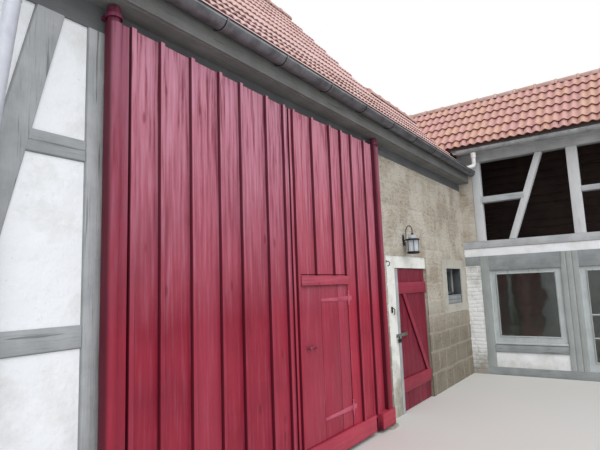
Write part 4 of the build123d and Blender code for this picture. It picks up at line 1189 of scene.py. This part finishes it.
    def build(self) -> None:
        """Build both leaves, the wicket and the ironwork, and dress what carries them."""
        self.left_leaf()
        self.right_leaf()
        self.wicket()
        self.ironwork()
        self.post("left_pivot_post", self.pivots[0], Body.LEFT_DOOR)
        self.post("right_pivot_post", self.pivots[1], Body.RIGHT_DOOR)
        HIGH_RED.dress("left_post_journal", "right_post_journal", "pivot_collars")
        PALE_STONE.dress("pivot_stones")


@dataclass
class SmallDoor:
    """The ledged and braced door in the stone wall, and its ironwork."""

    leaf_x: Span = (-3.310, -2.228)
    leaf_z: Span = (0.010, 1.975)
    board_y: Span = (0.030, 0.060)
    ledge_y: Span = (0.005, 0.030)
    ledges: tuple[Span, ...] = ((0.256, 0.440), (1.615, 1.778))
    brace: tuple[Span, Span] = ((-2.331, 0.440), (-3.099, 1.615))
    brace_width: float = 0.110
    joints: tuple[float, ...] = (-3.130, -2.945, -2.770, -2.600, -2.410)
    hasp_x: Span = (-3.480, -3.105)
    hasp_z: float = 1.050
    strip_x: Span = (-3.400, -3.318)
    bolts: tuple[float, ...] = (-3.160, -3.210, -3.300)
    bolt: Profile = ((0.0, 0.008), (0.003, 0.007), (0.005, 0.003))
    staple_x: float = -3.440
    latch_bar: tuple[Spot, ...] = (
        (0, -0.006, 0), (0, -0.030, 0), (0, -0.040, -0.020), (0, -0.038, -0.070), (0, -0.028, -0.090),
    )
    hook: tuple[Spot, ...] = (
        (0, 0, 0.020), (0, -0.030, 0.020), (0, -0.050, 0), (0, -0.045, -0.035), (0, -0.020, -0.045),
    )
    latch_spot: Spot = (-3.560, 0.0, 1.430)
    hook_spot: Spot = (-3.655, 0.0, 2.050)
    hook_plate: Profile = ((0.0, 0.016), (0.005, 0.015), (0.007, 0.006))

    def leaf(self) -> None:
        """Upright boards behind two ledges and a leaning brace."""
        edges = [self.leaf_x[0], *self.joints, self.leaf_x[1]]
        boards = [
            squared((low + 0.0005, high - 0.0005), self.board_y, self.leaf_z, 0.003, 0.001, 121 + turn)
            for turn, (low, high) in enumerate(zip(edges, edges[1:]))
        ]
        piece = place("small_door_boards", joined(boards), SMALL_RED, Body.SMALL_DOOR)
        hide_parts("small_door_leaf")
        middle = sum(self.ledge_y) / 2
        foot, head = ((x, middle, z) for x, z in self.brace)
        size = (self.brace_width, self.ledge_y[1] - self.ledge_y[0])
        rails = [squared(self.leaf_x, self.ledge_y, z, 0.005, seed=131) for z in self.ledges]
        rails.append(timber(foot, head, size, 0.005, seed=133))
        place("small_door_rails", joined(rails), SMALL_LEVEL, Body.SMALL_DOOR)

    def ironwork(self) -> None:
        """The hasp over its staple, with the padlock; the jamb's latch and the lintel's hook."""
        z = self.hasp_z
        level = (z - 0.021, z + 0.021)
        hasp = [
            squared(self.hasp_x, (-0.014, -0.007), level, 0.003, 0.0, seed=4),
            squared((self.leaf_x[0], self.hasp_x[1]), (-0.007, 0.030), level, 0.003, 0.0, seed=5),
        ]
        hasp += [turned((x, -0.013, z), OUT, self.bolt, 10) for x in self.bolts]
        angle = np.linspace(-0.3, np.pi + 0.3, 12)
        loop = points_at(0.0, -0.016 - 0.020 * np.sin(angle), 0.018 * np.cos(angle))
        hasp.append(rod(loop + [self.staple_x, 0.0, z], 0.004))
        piece = place("small_door_hasp_plate", joined(hasp), BRIGHT_IRON, Body.SMALL_DOOR)
        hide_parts("small_door_hasp")
        shackle = points_at(0.016 * np.cos(angle), 0.0, 0.022 * np.sin(angle))
        sides = (self.staple_x - 0.028, self.staple_x + 0.028)
        lock = [
            squared(sides, (-0.047, -0.022), (z - 0.092, z - 0.040), 0.007, 0.0, seed=6),
            rod(shackle + [self.staple_x, -0.034, z - 0.036], 0.0045),
        ]
        place("small_door_padlock", joined(lock), IRON, Body.SMALL_DOOR)
        x, y, z = self.hook_spot
        catch = [
            squared((-3.585, -3.535), (-0.006, 0.001), (1.370, 1.450), 0.003, 0.0, seed=7),
            rod(np.array(self.latch_bar) + self.latch_spot, 0.006),
            rod(np.array(self.hook) + self.hook_spot, 0.006),
            turned((x, y + 0.001, z + 0.020), OUT, self.hook_plate, 12),
        ]
        place("jamb_latch_and_hook", joined(catch), IRON)

    def build(self) -> None:
        """Build the leaf and ironwork, and dress the stone frame and its post."""
        self.leaf()
        self.ironwork()
        PALE_STONE.dress("small_door_frame")
        GREY_POST.dress("small_door_post")
        strip = squared(self.strip_x, (-0.006, 0.001), (0.0, self.leaf_z[1]), 0.002, 0.0, seed=9)
        place("small_door_cover_strip", strip, GREY_POST)


@dataclass
class StoneFace:
    """The hewn face of a wall of coursed blocks, a skin just proud of the wall.

    The skin lies in front of the plane y = 0, or of x = 0 when it is on the wing.
    """

    name: str
    x: Span
    z: Span
    holes: tuple[Hole, ...]
    finish: Finish
    slot: str
    course: float = 0.295
    block: float = 0.46
    pitch: float = 0.017
    depth: float = 0.011
    joint: float = 0.018
    seed: int = 5
    on_wing: bool = False

    def relief(self, x: Array, z: Array) -> tuple[Array, Array, Array]:
        """Height of the blocks' faces.

        Courses and blocks are cells of about even size whose bounds are moved at random and
        bent by noise. With d the distance to the nearest bound, the joint is 1 - smooth step of
        d, and the height is (1 - joint) * (a level per block + hewn noise).

        Args:
            x: Place along the wall.
            z: Height.

        Returns:
            The height from 0 to 1, the joint's share, and a tint per block.
        """
        chance = np.random.default_rng(self.seed)
        bent_z = z + 0.016 * value_noise(x * 2.3, z * 3.1, self.seed + 1)
        bent_x = x + 0.014 * value_noise(x * 3.7, z * 4.9, self.seed + 2)
        count = int(self.z[1] / self.course) + 2
        beds = np.cumsum(self.course * chance.uniform(0.82, 1.18, count))
        row = np.searchsorted(beds, bent_z.ravel()).reshape(z.shape)
        lower = np.concatenate([[-9.0], beds])[row]
        upper = np.concatenate([beds, [99.0]])[row]
        near = np.minimum(bent_z - lower, upper - bent_z)
        tint = np.zeros(z.shape)
        level = np.zeros(z.shape)
        for course in range(count + 1):
            inside = row == course
            ends = self.x[0] - chance.uniform(0, self.block)
            ends = ends + np.cumsum(self.block * chance.uniform(0.62, 1.4, int(9 / self.block)))
            column = np.searchsorted(ends, bent_x[inside])
            left = np.concatenate([[-99.0], ends])[column]
            right = np.concatenate([ends, [99.0]])[column]
            sides = np.minimum(bent_x[inside] - left, right - bent_x[inside])
            near[inside] = np.minimum(near[inside], sides)
            tint[inside] = chance.uniform(0, 1, len(ends) + 1)[column]
            level[inside] = chance.uniform(0.45, 0.85, len(ends) + 1)[column]
        joint = 1.0 - smooth_step(0.1 * self.joint, 1.6 * self.joint, near)
        hewn = 0.16 * value_noise(x * 13, z * 17, self.seed + 3)
        hewn = hewn + 0.10 * value_noise(x * 31, z * 37, self.seed + 4)
        return np.clip((1 - joint) * (level + hewn) + 0.1, 0, 1), joint, tint

    def build(self) -> bpy.types.Object:
        """Raise the skin, leave out the openings and turn its rim back to the wall."""
        x_values = np.arange(self.x[0], self.x[1] + self.pitch / 2, self.pitch)
        z_values = np.arange(self.z[0], self.z[1] + self.pitch / 2, self.pitch)
        for left, right, low, high in self.holes:
            x_values = np.unique(np.concatenate([x_values, [left, right]]).clip(*self.x))
            z_values = np.unique(np.concatenate([z_values, [low, high]]).clip(*self.z))
        marks: dict[str, Array] = {}

        def shape(first: Array, second: Array) -> Array:
            """Place each sample in front of the wall by its relief."""
            height, joint, tint = self.relief(first, second)
            marks.update(joint=joint.ravel(), block=tint.ravel())
            out = -0.001 - self.depth * height
            return points_at(out, first, second) if self.on_wing else points_at(first, out, second)

        skin = sheet(x_values, z_values, shape)
        skin.marks = marks
        faces = np.array(skin.faces)
        middle = skin.points[faces].mean(axis=1)
        for left, right, low, high in self.holes:
            inside = (middle[:, 0] > left) & (middle[:, 0] < right)
            inside &= (middle[:, 2] > low) & (middle[:, 2] < high)
            faces, middle = faces[~inside], middle[~inside]
        skin.faces = faces.tolist()
        way = (-1, 0, 0) if self.on_wing else OUT
        return place(self.name, skin.facing(way), self.finish, closed=False)


@dataclass
class StoneWall:
    """The stone part of the barn's front with its dressed openings and the lantern."""

    x: Span = (-3.958, -0.001)
    z: Span = (0.0, 3.560)
    doorway: Hole = (-3.677, -2.210, -0.1, 2.160)
    window: Hole = (-1.433, -0.087, 1.220, 2.155)
    window_x: Span = (-1.210, -0.370)
    window_z: Span = (1.365, 2.000)
    level_bar: tuple[Span, Span] = ((0.150, 0.182), (1.530, 1.566))
    bar_depth: Span = (0.168, 0.182)
    bar_width: float = 0.040
    reveal: Span = (0.004, 0.150)
    # Thickness of the dark sheet on the reveal, which is painted shade.
    shade_sheet: float = 0.004
    board_depth: Span = (0.014, 0.034)
    boards: tuple[Span, Span] = ((0.003, 0.070), (0.074, 0.141))
    board_cap: tuple[Span, Span] = ((0.008, 0.040), (0.143, 0.157))

    def build(self) -> None:
        """Face the wall, dress the openings, and bar the small window."""
        holes = (self.doorway, self.window)
        StoneFace("stone_face", self.x, self.z, holes, STONE, "field_stone").build()
        STONE.dress("stone_wall_left", "stone_wall_over_door", "stone_wall_right")
        SURROUND.dress("window_surround")
        WINDOW_GREY.dress("small_window")
        DUSTY_GLASS.dress("small_window_glass")
        half = self.bar_width / 2
        middle = sum(self.window_x) / 2
        bars = [
            squared(self.window_x, *self.level_bar, 0.005, seed=141),
            squared((middle - half, middle + half), self.bar_depth, self.window_z, 0.004, seed=142),
        ]
        place("small_window_bars", joined(bars), WINDOW_GREY)
        # A thin dark sheet over the reveal's sides and head: painted shade.
        (left, right), (low, high), thin = self.window_x, self.window_z, self.shade_sheet
        shade_sheet = [
            squared((left, left + thin), self.reveal, self.window_z, 0.001, 0.0),
            squared((right - thin, right), self.reveal, self.window_z, 0.001, 0.0),
            squared((left + thin, right - thin), self.reveal, (high - thin, high), 0.001, 0.0),
        ]
        place("small_window_reveal_shade", joined(shade_sheet), WINDOW_GREY)
        between = (left + 0.006, right - 0.006)
        boards = [
            squared(between, self.board_depth, (low + foot, low + top), 0.004, 0.001, 143 + turn)
            for turn, (foot, top) in enumerate(self.boards)
        ]
        depth, (foot, top) = self.board_cap
        boards.append(squared(between, depth, (low + foot, low + top), 0.004))
        place("small_window_boards", joined(boards), LOWER_BEAM)


@dataclass
class Lantern:
    """A black iron lantern with ribbed glass, hung from a scrolled arm on a back plate."""

    x: float = -3.030
    out: float = 0.150
    foot: float = 2.180
    plate_z: float = 0.215
    ribs: int = 6
    flutes: int = 24
    base: Profile = (
        (0.0, 0.006), (0.004, 0.060), (0.010, 0.086), (0.020, 0.090), (0.034, 0.088), (0.040, 0.080),
    )
    glass: Profile = ((0.036, 0.074), (0.040, 0.079), (0.120, 0.080), (0.200, 0.081), (0.204, 0.076))
    cap: Profile = (
        (0.200, 0.080), (0.203, 0.098), (0.210, 0.101), (0.222, 0.098), (0.230, 0.060),
        (0.232, 0.050),
    )
    dome: Profile = ((0.226, 0.060), (0.240, 0.060), (0.262, 0.055), (0.278, 0.044), (0.284, 0.036))
    tip: Profile = (
        (0.282, 0.040), (0.286, 0.030), (0.296, 0.018), (0.306, 0.016), (0.314, 0.010),
        (0.320, 0.004),
    )
    plate: Profile = ((0.0, 0.044), (0.006, 0.046), (0.010, 0.040), (0.012, 0.020), (0.016, 0.012))
    # The arm's bends as (y from the wall, height over the lantern's foot).
    arm: Profile = (
        (-0.008, 0.215), (-0.030, 0.205), (-0.048, 0.225), (-0.052, 0.270), (-0.052, 0.330),
        (-0.056, 0.375), (-0.072, 0.408), (-0.098, 0.424), (-0.125, 0.416), (-0.143, 0.392),
        (-0.150, 0.355), (-0.150, 0.318),
    )

    def bracket(self) -> list[Surface]:
        """The arm with its bends rounded off, the scroll under it and the oval back plate."""
        bends = np.array(self.arm)
        share = np.linspace(0, len(bends) - 1, 44)
        arm = points_at(0.0, *(np.interp(share, np.arange(len(bends)), line) for line in bends.T))
        for _ in range(3):
            arm[1:-1] = (arm[:-2] + 2 * arm[1:-1] + arm[2:]) / 4
        turn = np.linspace(0, 1, 26)
        angle = -0.5 * np.pi + 2.6 * np.pi * turn
        curl = 0.030 * (1 - 0.62 * turn)
        scroll = points_at(0.0, -0.052 + curl * np.cos(angle), 0.185 - curl + curl * np.sin(angle))
        wall = [self.x, 0.0, self.foot]
        middle = self.foot + self.plate_z
        plate = turned((self.x, 0.0, middle), OUT, self.plate, 24)
        plate.points[:, 2] = middle + (plate.points[:, 2] - middle) * 2.0
        return [rod(arm + wall, 0.0065), rod(scroll + wall, 0.0050), plate]

    def build(self) -> None:
        """Turn the base, glass, cap and finial, set the ribs and add the bracket."""
        spot = np.array([self.x, -self.out, self.foot])
        body = [turned(spot, UP, profile, 24) for profile in (self.base, self.cap, self.tip)]
        share = np.linspace(0, 1, 4)[:, None]
        for turn in range(self.ribs):
            angle = math.pi * (turn / 3 + 1 / 6)
            way = np.array([math.cos(angle), math.sin(angle), 0.0])
            foot, head = spot + 0.084 * way + [0, 0, 0.036], spot + 0.086 * way + [0, 0, 0.204]
            body.append(rod(foot * (1 - share) + head * share, 0.0045, 8))
        piece = place("lantern_ironwork", joined(body + self.bracket()), IRON)
        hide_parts("lantern_bracket")
        glass, dome = turned(spot, UP, self.glass, 4 * self.flutes), turned(spot, UP, self.dome, 32)
        around = glass.points[:, :2] - spot[:2]
        turn = np.arctan2(around[:, 1], around[:, 0])
        glass.points[:, :2] = spot[:2] + around * (1 + 0.045 * np.cos(self.flutes * turn))[:, None]
        pane = place("lantern_glass", joined([glass, dome]), FROSTED)
        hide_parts("lantern")


@dataclass
class BarnTimber:
    """The timber frame left of the doors, the wall plate, the eaves and the rainwater goods."""

    left: float = -10.030
    door_post: Span = (-8.032, -7.830)
    depth: Span = (-0.001, 0.160)
    plate_z: float = 3.520
    sill: float = 0.200
    rail_tops: tuple[float, ...] = (1.580, 2.740)
    rail_height: float = 0.140
    end_post: float = 0.200
    brace: tuple[Span, Span] = ((-9.025, 0.200), (-8.276, 3.520))
    brace_width: float = 0.180
    gutter: Span = (-0.271, 3.905)
    gutter_x: Span = (-10.130, -0.020)
    gutter_radius: float = 0.075
    first_hoop: float = -9.463
    hoop_pitch: float = 0.797

    def build(self) -> None:
        """Lay the timbers over the frame's, and finish eaves, gutter and downpipe."""
        first_post = (self.left, self.left + self.end_post)
        uprights = [
            squared(post, self.depth, (self.sill, self.plate_z), 0.012, 0.003, 151 + turn)
            for turn, post in enumerate((first_post, self.door_post))
        ]
        middle = sum(self.depth) / 2
        foot, head = ((x, middle, z) for x, z in self.brace)
        size = (self.brace_width, self.depth[1] - self.depth[0] + 0.002)
        uprights.append(timber(foot, head, size, 0.012, 0.003, 153))
        piece = place("barn_posts_and_brace", joined(uprights), GREY_POST)
        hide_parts("front_timber_frame")
        whole = (self.left, self.door_post[1])
        rails = [squared(whole, self.depth, (0.0, self.sill), 0.012, 0.003, 154)]
        between = (first_post[1], self.door_post[0])
        for top in self.rail_tops:
            rails.append(squared(between, self.depth, (top - self.rail_height, top), 0.012, 0.003, 155))
        place("barn_sill_and_rails", joined(rails), GREY_RAIL)
        PLATE_DARK.dress("front_wall_plate")
        PLASTER.dress("front_plaster")
        OUTER_PLASTER.dress("left_gable_wall", "right_gable_wall", "back_wall", "link_back_wall")
        EAVES_BOARD.dress("barn_eaves")
        ZINC.dress("barn_gutter")
        BLUE_ZINC.dress("downpipe")
        y, z = self.gutter
        x = np.linspace(*self.gutter_x, 24)
        rim = y - self.gutter_radius + 0.004
        # Along the rim: the bead is dark as painted shade of the groove under it, and a pale rod below
        # it is a painted highlight.
        edges = (("bead", 0.0, 0.009, IRON), ("painted_highlight", -0.022, 0.006, PALE_ZINC))
        for name, lower, radius, finish in edges:
            line = points_at(x, rim, z + 0.004 + lower)
            place(f"barn_gutter_{name}", rod(line, radius), finish)
        angle = np.linspace(math.pi, 2 * math.pi, 16)
        ring = self.gutter_radius + 0.002
        hoops = [
            rod(points_at(x, y + ring * np.cos(angle), z + ring * np.sin(angle)), 0.0045, 8)
            for x in self.first_hoop + self.hoop_pitch * np.arange(10)
        ]
        place("barn_gutter_brackets", joined(hoops), IRON)


@dataclass
class Wing:
    """The wing's timber front, windows, gallery, pier and gutter. Its face is the plane x = 0."""

    depth: Span = (-0.001, 0.160)
    first_post: Span = (-0.451, -0.286)
    bay: float = 1.672
    first_bay: float = -0.286
    double_post: float = 0.286
    strips: tuple[Span, ...] = ((0.0, 0.092), (0.096, 0.190), (0.194, 0.286))
    end: float = -5.302
    base_top: float = 0.143
    sill_z: Span = (0.418, 0.550)
    head_z: Span = (1.947, 2.233)
    gallery_sill: Span = (2.387, 2.530)
    gallery_plate: Span = (4.103, 4.290)
    gallery_posts: tuple[Span, ...] = (
        (-0.418, -0.264), (-2.123, -1.947), (-3.795, -3.619), (-5.302, -5.126),
    )
    gallery_brace: tuple[Span, Span] = ((-0.913, 2.530), (-1.496, 4.103))
    brace_width: float = 0.115
    left_rail: Span = (3.278, 3.399)
    right_rail: Span = (3.267, 3.366)
    glass_foot: float = 0.715
    door_glass_foot: float = 0.308
    glass_head: float = 1.870
    stile: float = 0.110
    door_bars: tuple[float, ...] = (0.711, 1.108)
    bar_x: Span = (0.040, 0.060)
    weather_bar: Span = (0.560, 0.600)
    pier_top: float = 2.050
    eaves_foot: float = 4.570
    sash_x: Span = (0.035, 0.095)
    gutter: Span = (-0.292, 4.300)
    gutter_y: Span = (-5.452, -0.100)

    def bays(self) -> list[tuple[Span, bool]]:
        """Each bay between the posts, with whether it holds the glazed door."""
        posts = [self.first_post]
        for turn in (1, 2, 3):
            foot = self.first_bay - turn * self.bay
            posts.append((foot, foot + self.double_post))
        return [((low[1], high[0]), turn == 1) for turn, (high, low) in enumerate(zip(posts, posts[1:]))]

    def lower_frame(self) -> None:
        """Posts, base, sills and head beams, with the double posts as two posts and a strip."""
        thick, upright = self.depth, (self.base_top, self.head_z[1])
        posts = [squared(thick, self.first_post, upright, 0.008, 0.002, 161)]
        for turn in (1, 2, 3):
            foot = self.first_bay - turn * self.bay
            for low, high in self.strips:
                part = (foot + low, foot + high)
                posts.append(squared(thick, part, upright, 0.006, 0.001, 162 + turn))
        piece = place("wing_lower_posts", joined(posts), LOWER_POST)
        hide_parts("wing_lower_frame")
        beams = [squared(thick, (self.end, self.first_post[1]), (0.0, self.base_top), 0.010, 0.002, 167)]
        for bay, glazed_door in self.bays():
            if not glazed_door:
                beams.append(squared((-0.012, thick[1]), bay, self.sill_z, 0.010, 0.001, 168))
            beams.append(squared(thick, bay, self.head_z, 0.008, 0.002, 169))
        over_pier = (self.pier_top, self.head_z[1])
        beams.append(squared(thick, (self.first_post[1], 0.0), over_pier, 0.008, 0.001, 170))
        place("wing_lower_beams", joined(beams), LOWER_BEAM)

    def windows(self) -> None:
        """Mouldings round each pane, a weather bar, and the cross bars of the glazed door."""
        x = (self.sash_x[0] - 0.014, self.sash_x[0] + 0.002)
        parts = []
        for bay, glazed_door in self.bays():
            foot, head = self.door_glass_foot if glazed_door else self.glass_foot, self.glass_head
            low, high = bay[0] + self.stile, bay[1] - self.stile
            lights = [(low, high)]
            if glazed_door:
                middle = sum(bay) / 2
                lights = [(low, middle - self.stile / 2), (middle + self.stile / 2, high)]
            for left, right in lights:
                edges = ((left - 0.018, left + 0.004), (right - 0.004, right + 0.018))
                levels = ((foot - 0.018, foot + 0.004), (head - 0.004, head + 0.018))
                parts += [squared(x, edge, (foot - 0.018, head + 0.018), 0.005, 0.0) for edge in edges]
                parts += [squared(x, (left, right), level, 0.005, 0.0) for level in levels]
                for bar in self.door_bars if glazed_door else ():
                    level = (bar - 0.011, bar + 0.011)
                    parts.append(squared(self.bar_x, (left, right), level, 0.004, 0.0))
            if not glazed_door:
                weather_x = (self.sash_x[0] - 0.030, self.sash_x[0])
                parts.append(squared(weather_x, bay, self.weather_bar, 0.008, 0.0))
        place("wing_window_mouldings", joined(parts), LOWER_POST)

    def gallery(self) -> None:
        """The open gallery's sill, posts, brace, rails and plate, and what shows inside it."""
        thick, upright = self.depth, (self.gallery_sill[1], self.gallery_plate[0])
        posts = [
            squared(thick, post, upright, 0.010, 0.003, 171 + turn)
            for turn, post in enumerate(self.gallery_posts)
        ]
        middle = sum(thick) / 2
        foot, head = ((middle, y, z) for y, z in self.gallery_brace)
        posts.append(timber(foot, head, (thick[1] - thick[0], self.brace_width), 0.010, 0.003, 176))
        piece = place("gallery_posts_and_brace", joined(posts), WING_POST)
        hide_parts("gallery_frame")
        share = (self.left_rail[0] - foot[2]) / (head[2] - foot[2])
        rail_end = foot[1] + (head[1] - foot[1]) * share
        beams = [
            squared(thick, (self.end, 0.0), self.gallery_sill, 0.010, 0.003, 177),
            squared(thick, (self.end, 0.0), (self.gallery_plate[0], self.eaves_foot), 0.010, 0.002, 178),
            squared(thick, (rail_end, self.gallery_posts[0][0]), self.left_rail, 0.008, 0.002, 179),
        ]
        for left, right in zip(self.gallery_posts[1:], self.gallery_posts[2:]):
            beams.append(squared(thick, (right[1], left[0]), self.right_rail, 0.008, 0.002, 180))
        place("gallery_beams", joined(beams), WING_BEAM)
        length = (self.end + 0.17, 2.15)
        boards = [
            squared((2.352, 2.378), length, (low, low + 0.186), 0.004, 0.002, 181 + turn)
            for turn, low in enumerate(np.arange(2.535, 4.80, 0.190))
        ]
        rafters = [
            timber((0.20, y, 4.66), (1.330, y, 5.62), (0.08, 0.12), 0.006, 0.002, 190 + turn)
            for turn, y in enumerate(np.arange(-5.05, -0.1, 0.83))
        ]
        place("gallery_boarding", joined(boards + rafters), DARK_TIMBER)

    def build(self) -> None:
        """Build the front, then dress the walls and eaves."""
        self.lower_frame()
        self.windows()
        self.gallery()
        LOWER_POST.dress("wing_sashes")
        WING_BEAM.dress("wing_eaves")
        DARK_TIMBER.dress("gallery_floor")
        GLASS.dress("wing_glass")
        PLASTER.dress("wing_plaster")
        PALE_ZINC.dress("wing_gutter")
        PIPE.dress("rain_elbow")
        BRICK.dress("corner_pier")
        bricks = {"course": 0.077, "block": 0.24, "pitch": 0.012, "joint": 0.010}
        pier = ((self.first_post[1], 0.0), (0.0, self.pier_top), ())
        StoneFace("corner_pier_face", *pier, BRICK, "lime_plaster", **bricks, on_wing=True).build()
        corner = ((self.gallery_posts[0][1], 0.0), (self.gallery_sill[1], self.gallery_plate[0]), ())
        StoneFace("gallery_corner_face", *corner, STONE, "field_stone", on_wing=True).build()
        OUTER_PLASTER.dress("wing_back_wall", "wing_yard_gable", "wing_rear_gable")
        x, z = self.gutter
        line = points_at(x - 0.066, np.linspace(*self.gutter_y, 16), z + 0.004)
        place("wing_gutter_bead", rod(line, 0.008), PALE_ZINC)


@dataclass
class Studio:
    """A pale floor, soft light from an even white surround, and the photograph's viewpoint."""

    floor: str = "#D9D7D2"
    reach: float = 40.0
    surround: float = 0.88
    sun: float = 1.5
    sun_angle: float = 50.0
    sun_from: Spot = (-0.62, -0.72, 0.80)
    spot: Spot = (-6.0925, -3.269, 1.76)
    right: Spot = (0.57708, -0.81588, -0.03633)
    down: Spot = (0.08481, 0.10413, -0.99084)
    ahead: Spot = (0.81220, 0.56872, 0.12929)
    lens: float = 28.66

    def floor_plane(self) -> None:
        """A level floor, which keeps the shadow."""
        mesh = bpy.data.meshes.new("studio_floor")
        corners = [(x * self.reach, y * self.reach, 0) for x, y in ((-1, -1), (1, -1), (1, 1), (-1, 1))]
        mesh.from_pydata(corners, [], [(0, 1, 2, 3)])
        material = bpy.data.materials.new("pale_studio_floor")
        tree = fresh_tree(material)
        look = {"Base Color": self.floor, "Roughness": 0.95, "Specular IOR Level": 0.1}
        add_node(tree, "ShaderNodeOutputMaterial", {"Surface": add_node(tree, SHADER, look)})
        mesh.materials.append(material)
        plane = add_object("studio_floor", mesh)

    def light(self) -> None:
        """White where the camera, a reflection or glass looks, and even light elsewhere."""
        bpy.context.scene.world = bpy.data.worlds.new("studio_surround")
        node = partial(add_node, fresh_tree(bpy.context.scene.world))
        path = node("ShaderNodeLightPath").outputs
        seen = path["Is Camera Ray"]
        for name in ("Is Glossy Ray", "Is Transmission Ray"):
            seen = node(MATH, {0: seen, 1: path[name]}, operation="MAXIMUM")
        even = node("ShaderNodeBackground", {0: "#F4F8FF", 1: self.surround})
        white = node("ShaderNodeBackground", {0: "#FFFFFF", 1: 1.0})
        mixed = node("ShaderNodeMixShader", {0: seen, 1: even, 2: white})
        node("ShaderNodeOutputWorld", {"Surface": mixed})
        lamp = bpy.data.lights.new("soft_sun", "SUN")
        lamp.energy = self.sun
        lamp.angle = math.radians(self.sun_angle)
        turn = Vector(self.sun_from).to_track_quat("Z", "Y")
        add_object("soft_sun", lamp).rotation_euler = turn.to_euler()

    def camera(self) -> None:
        """Stand in the yard beside the doors and look along them to the wing."""
        lens = bpy.data.cameras.new("yard_camera")
        lens.sensor_fit = "HORIZONTAL"
        lens.sensor_width = 36.0
        lens.lens = self.lens
        camera = add_object("yard_camera", lens)
        turn = Matrix([self.right, [-v for v in self.down], [-v for v in self.ahead]]).transposed()
        camera.matrix_world = Matrix.Translation(self.spot) @ turn.to_4x4()
        bpy.context.scene.camera = camera

    def build(self) -> None:
        """Set up the floor, light and camera."""
        self.camera()
        self.floor_plane()
        self.light()
        bpy.context.scene.view_settings.view_transform = "Standard"


def main() -> None:
    """Build the house's pieces in order."""
    logging.basicConfig(level=logging.INFO, format="%(name)s %(message)s")
    parts = (Studio(), Roofs(), BarnDoors(), SmallDoor(), StoneWall(), Lantern(), BarnTimber(), Wing())
    for part in parts:
        part.build()
        log.info("%s done", type(part).__name__)


if __name__ == "__main__":
    main()
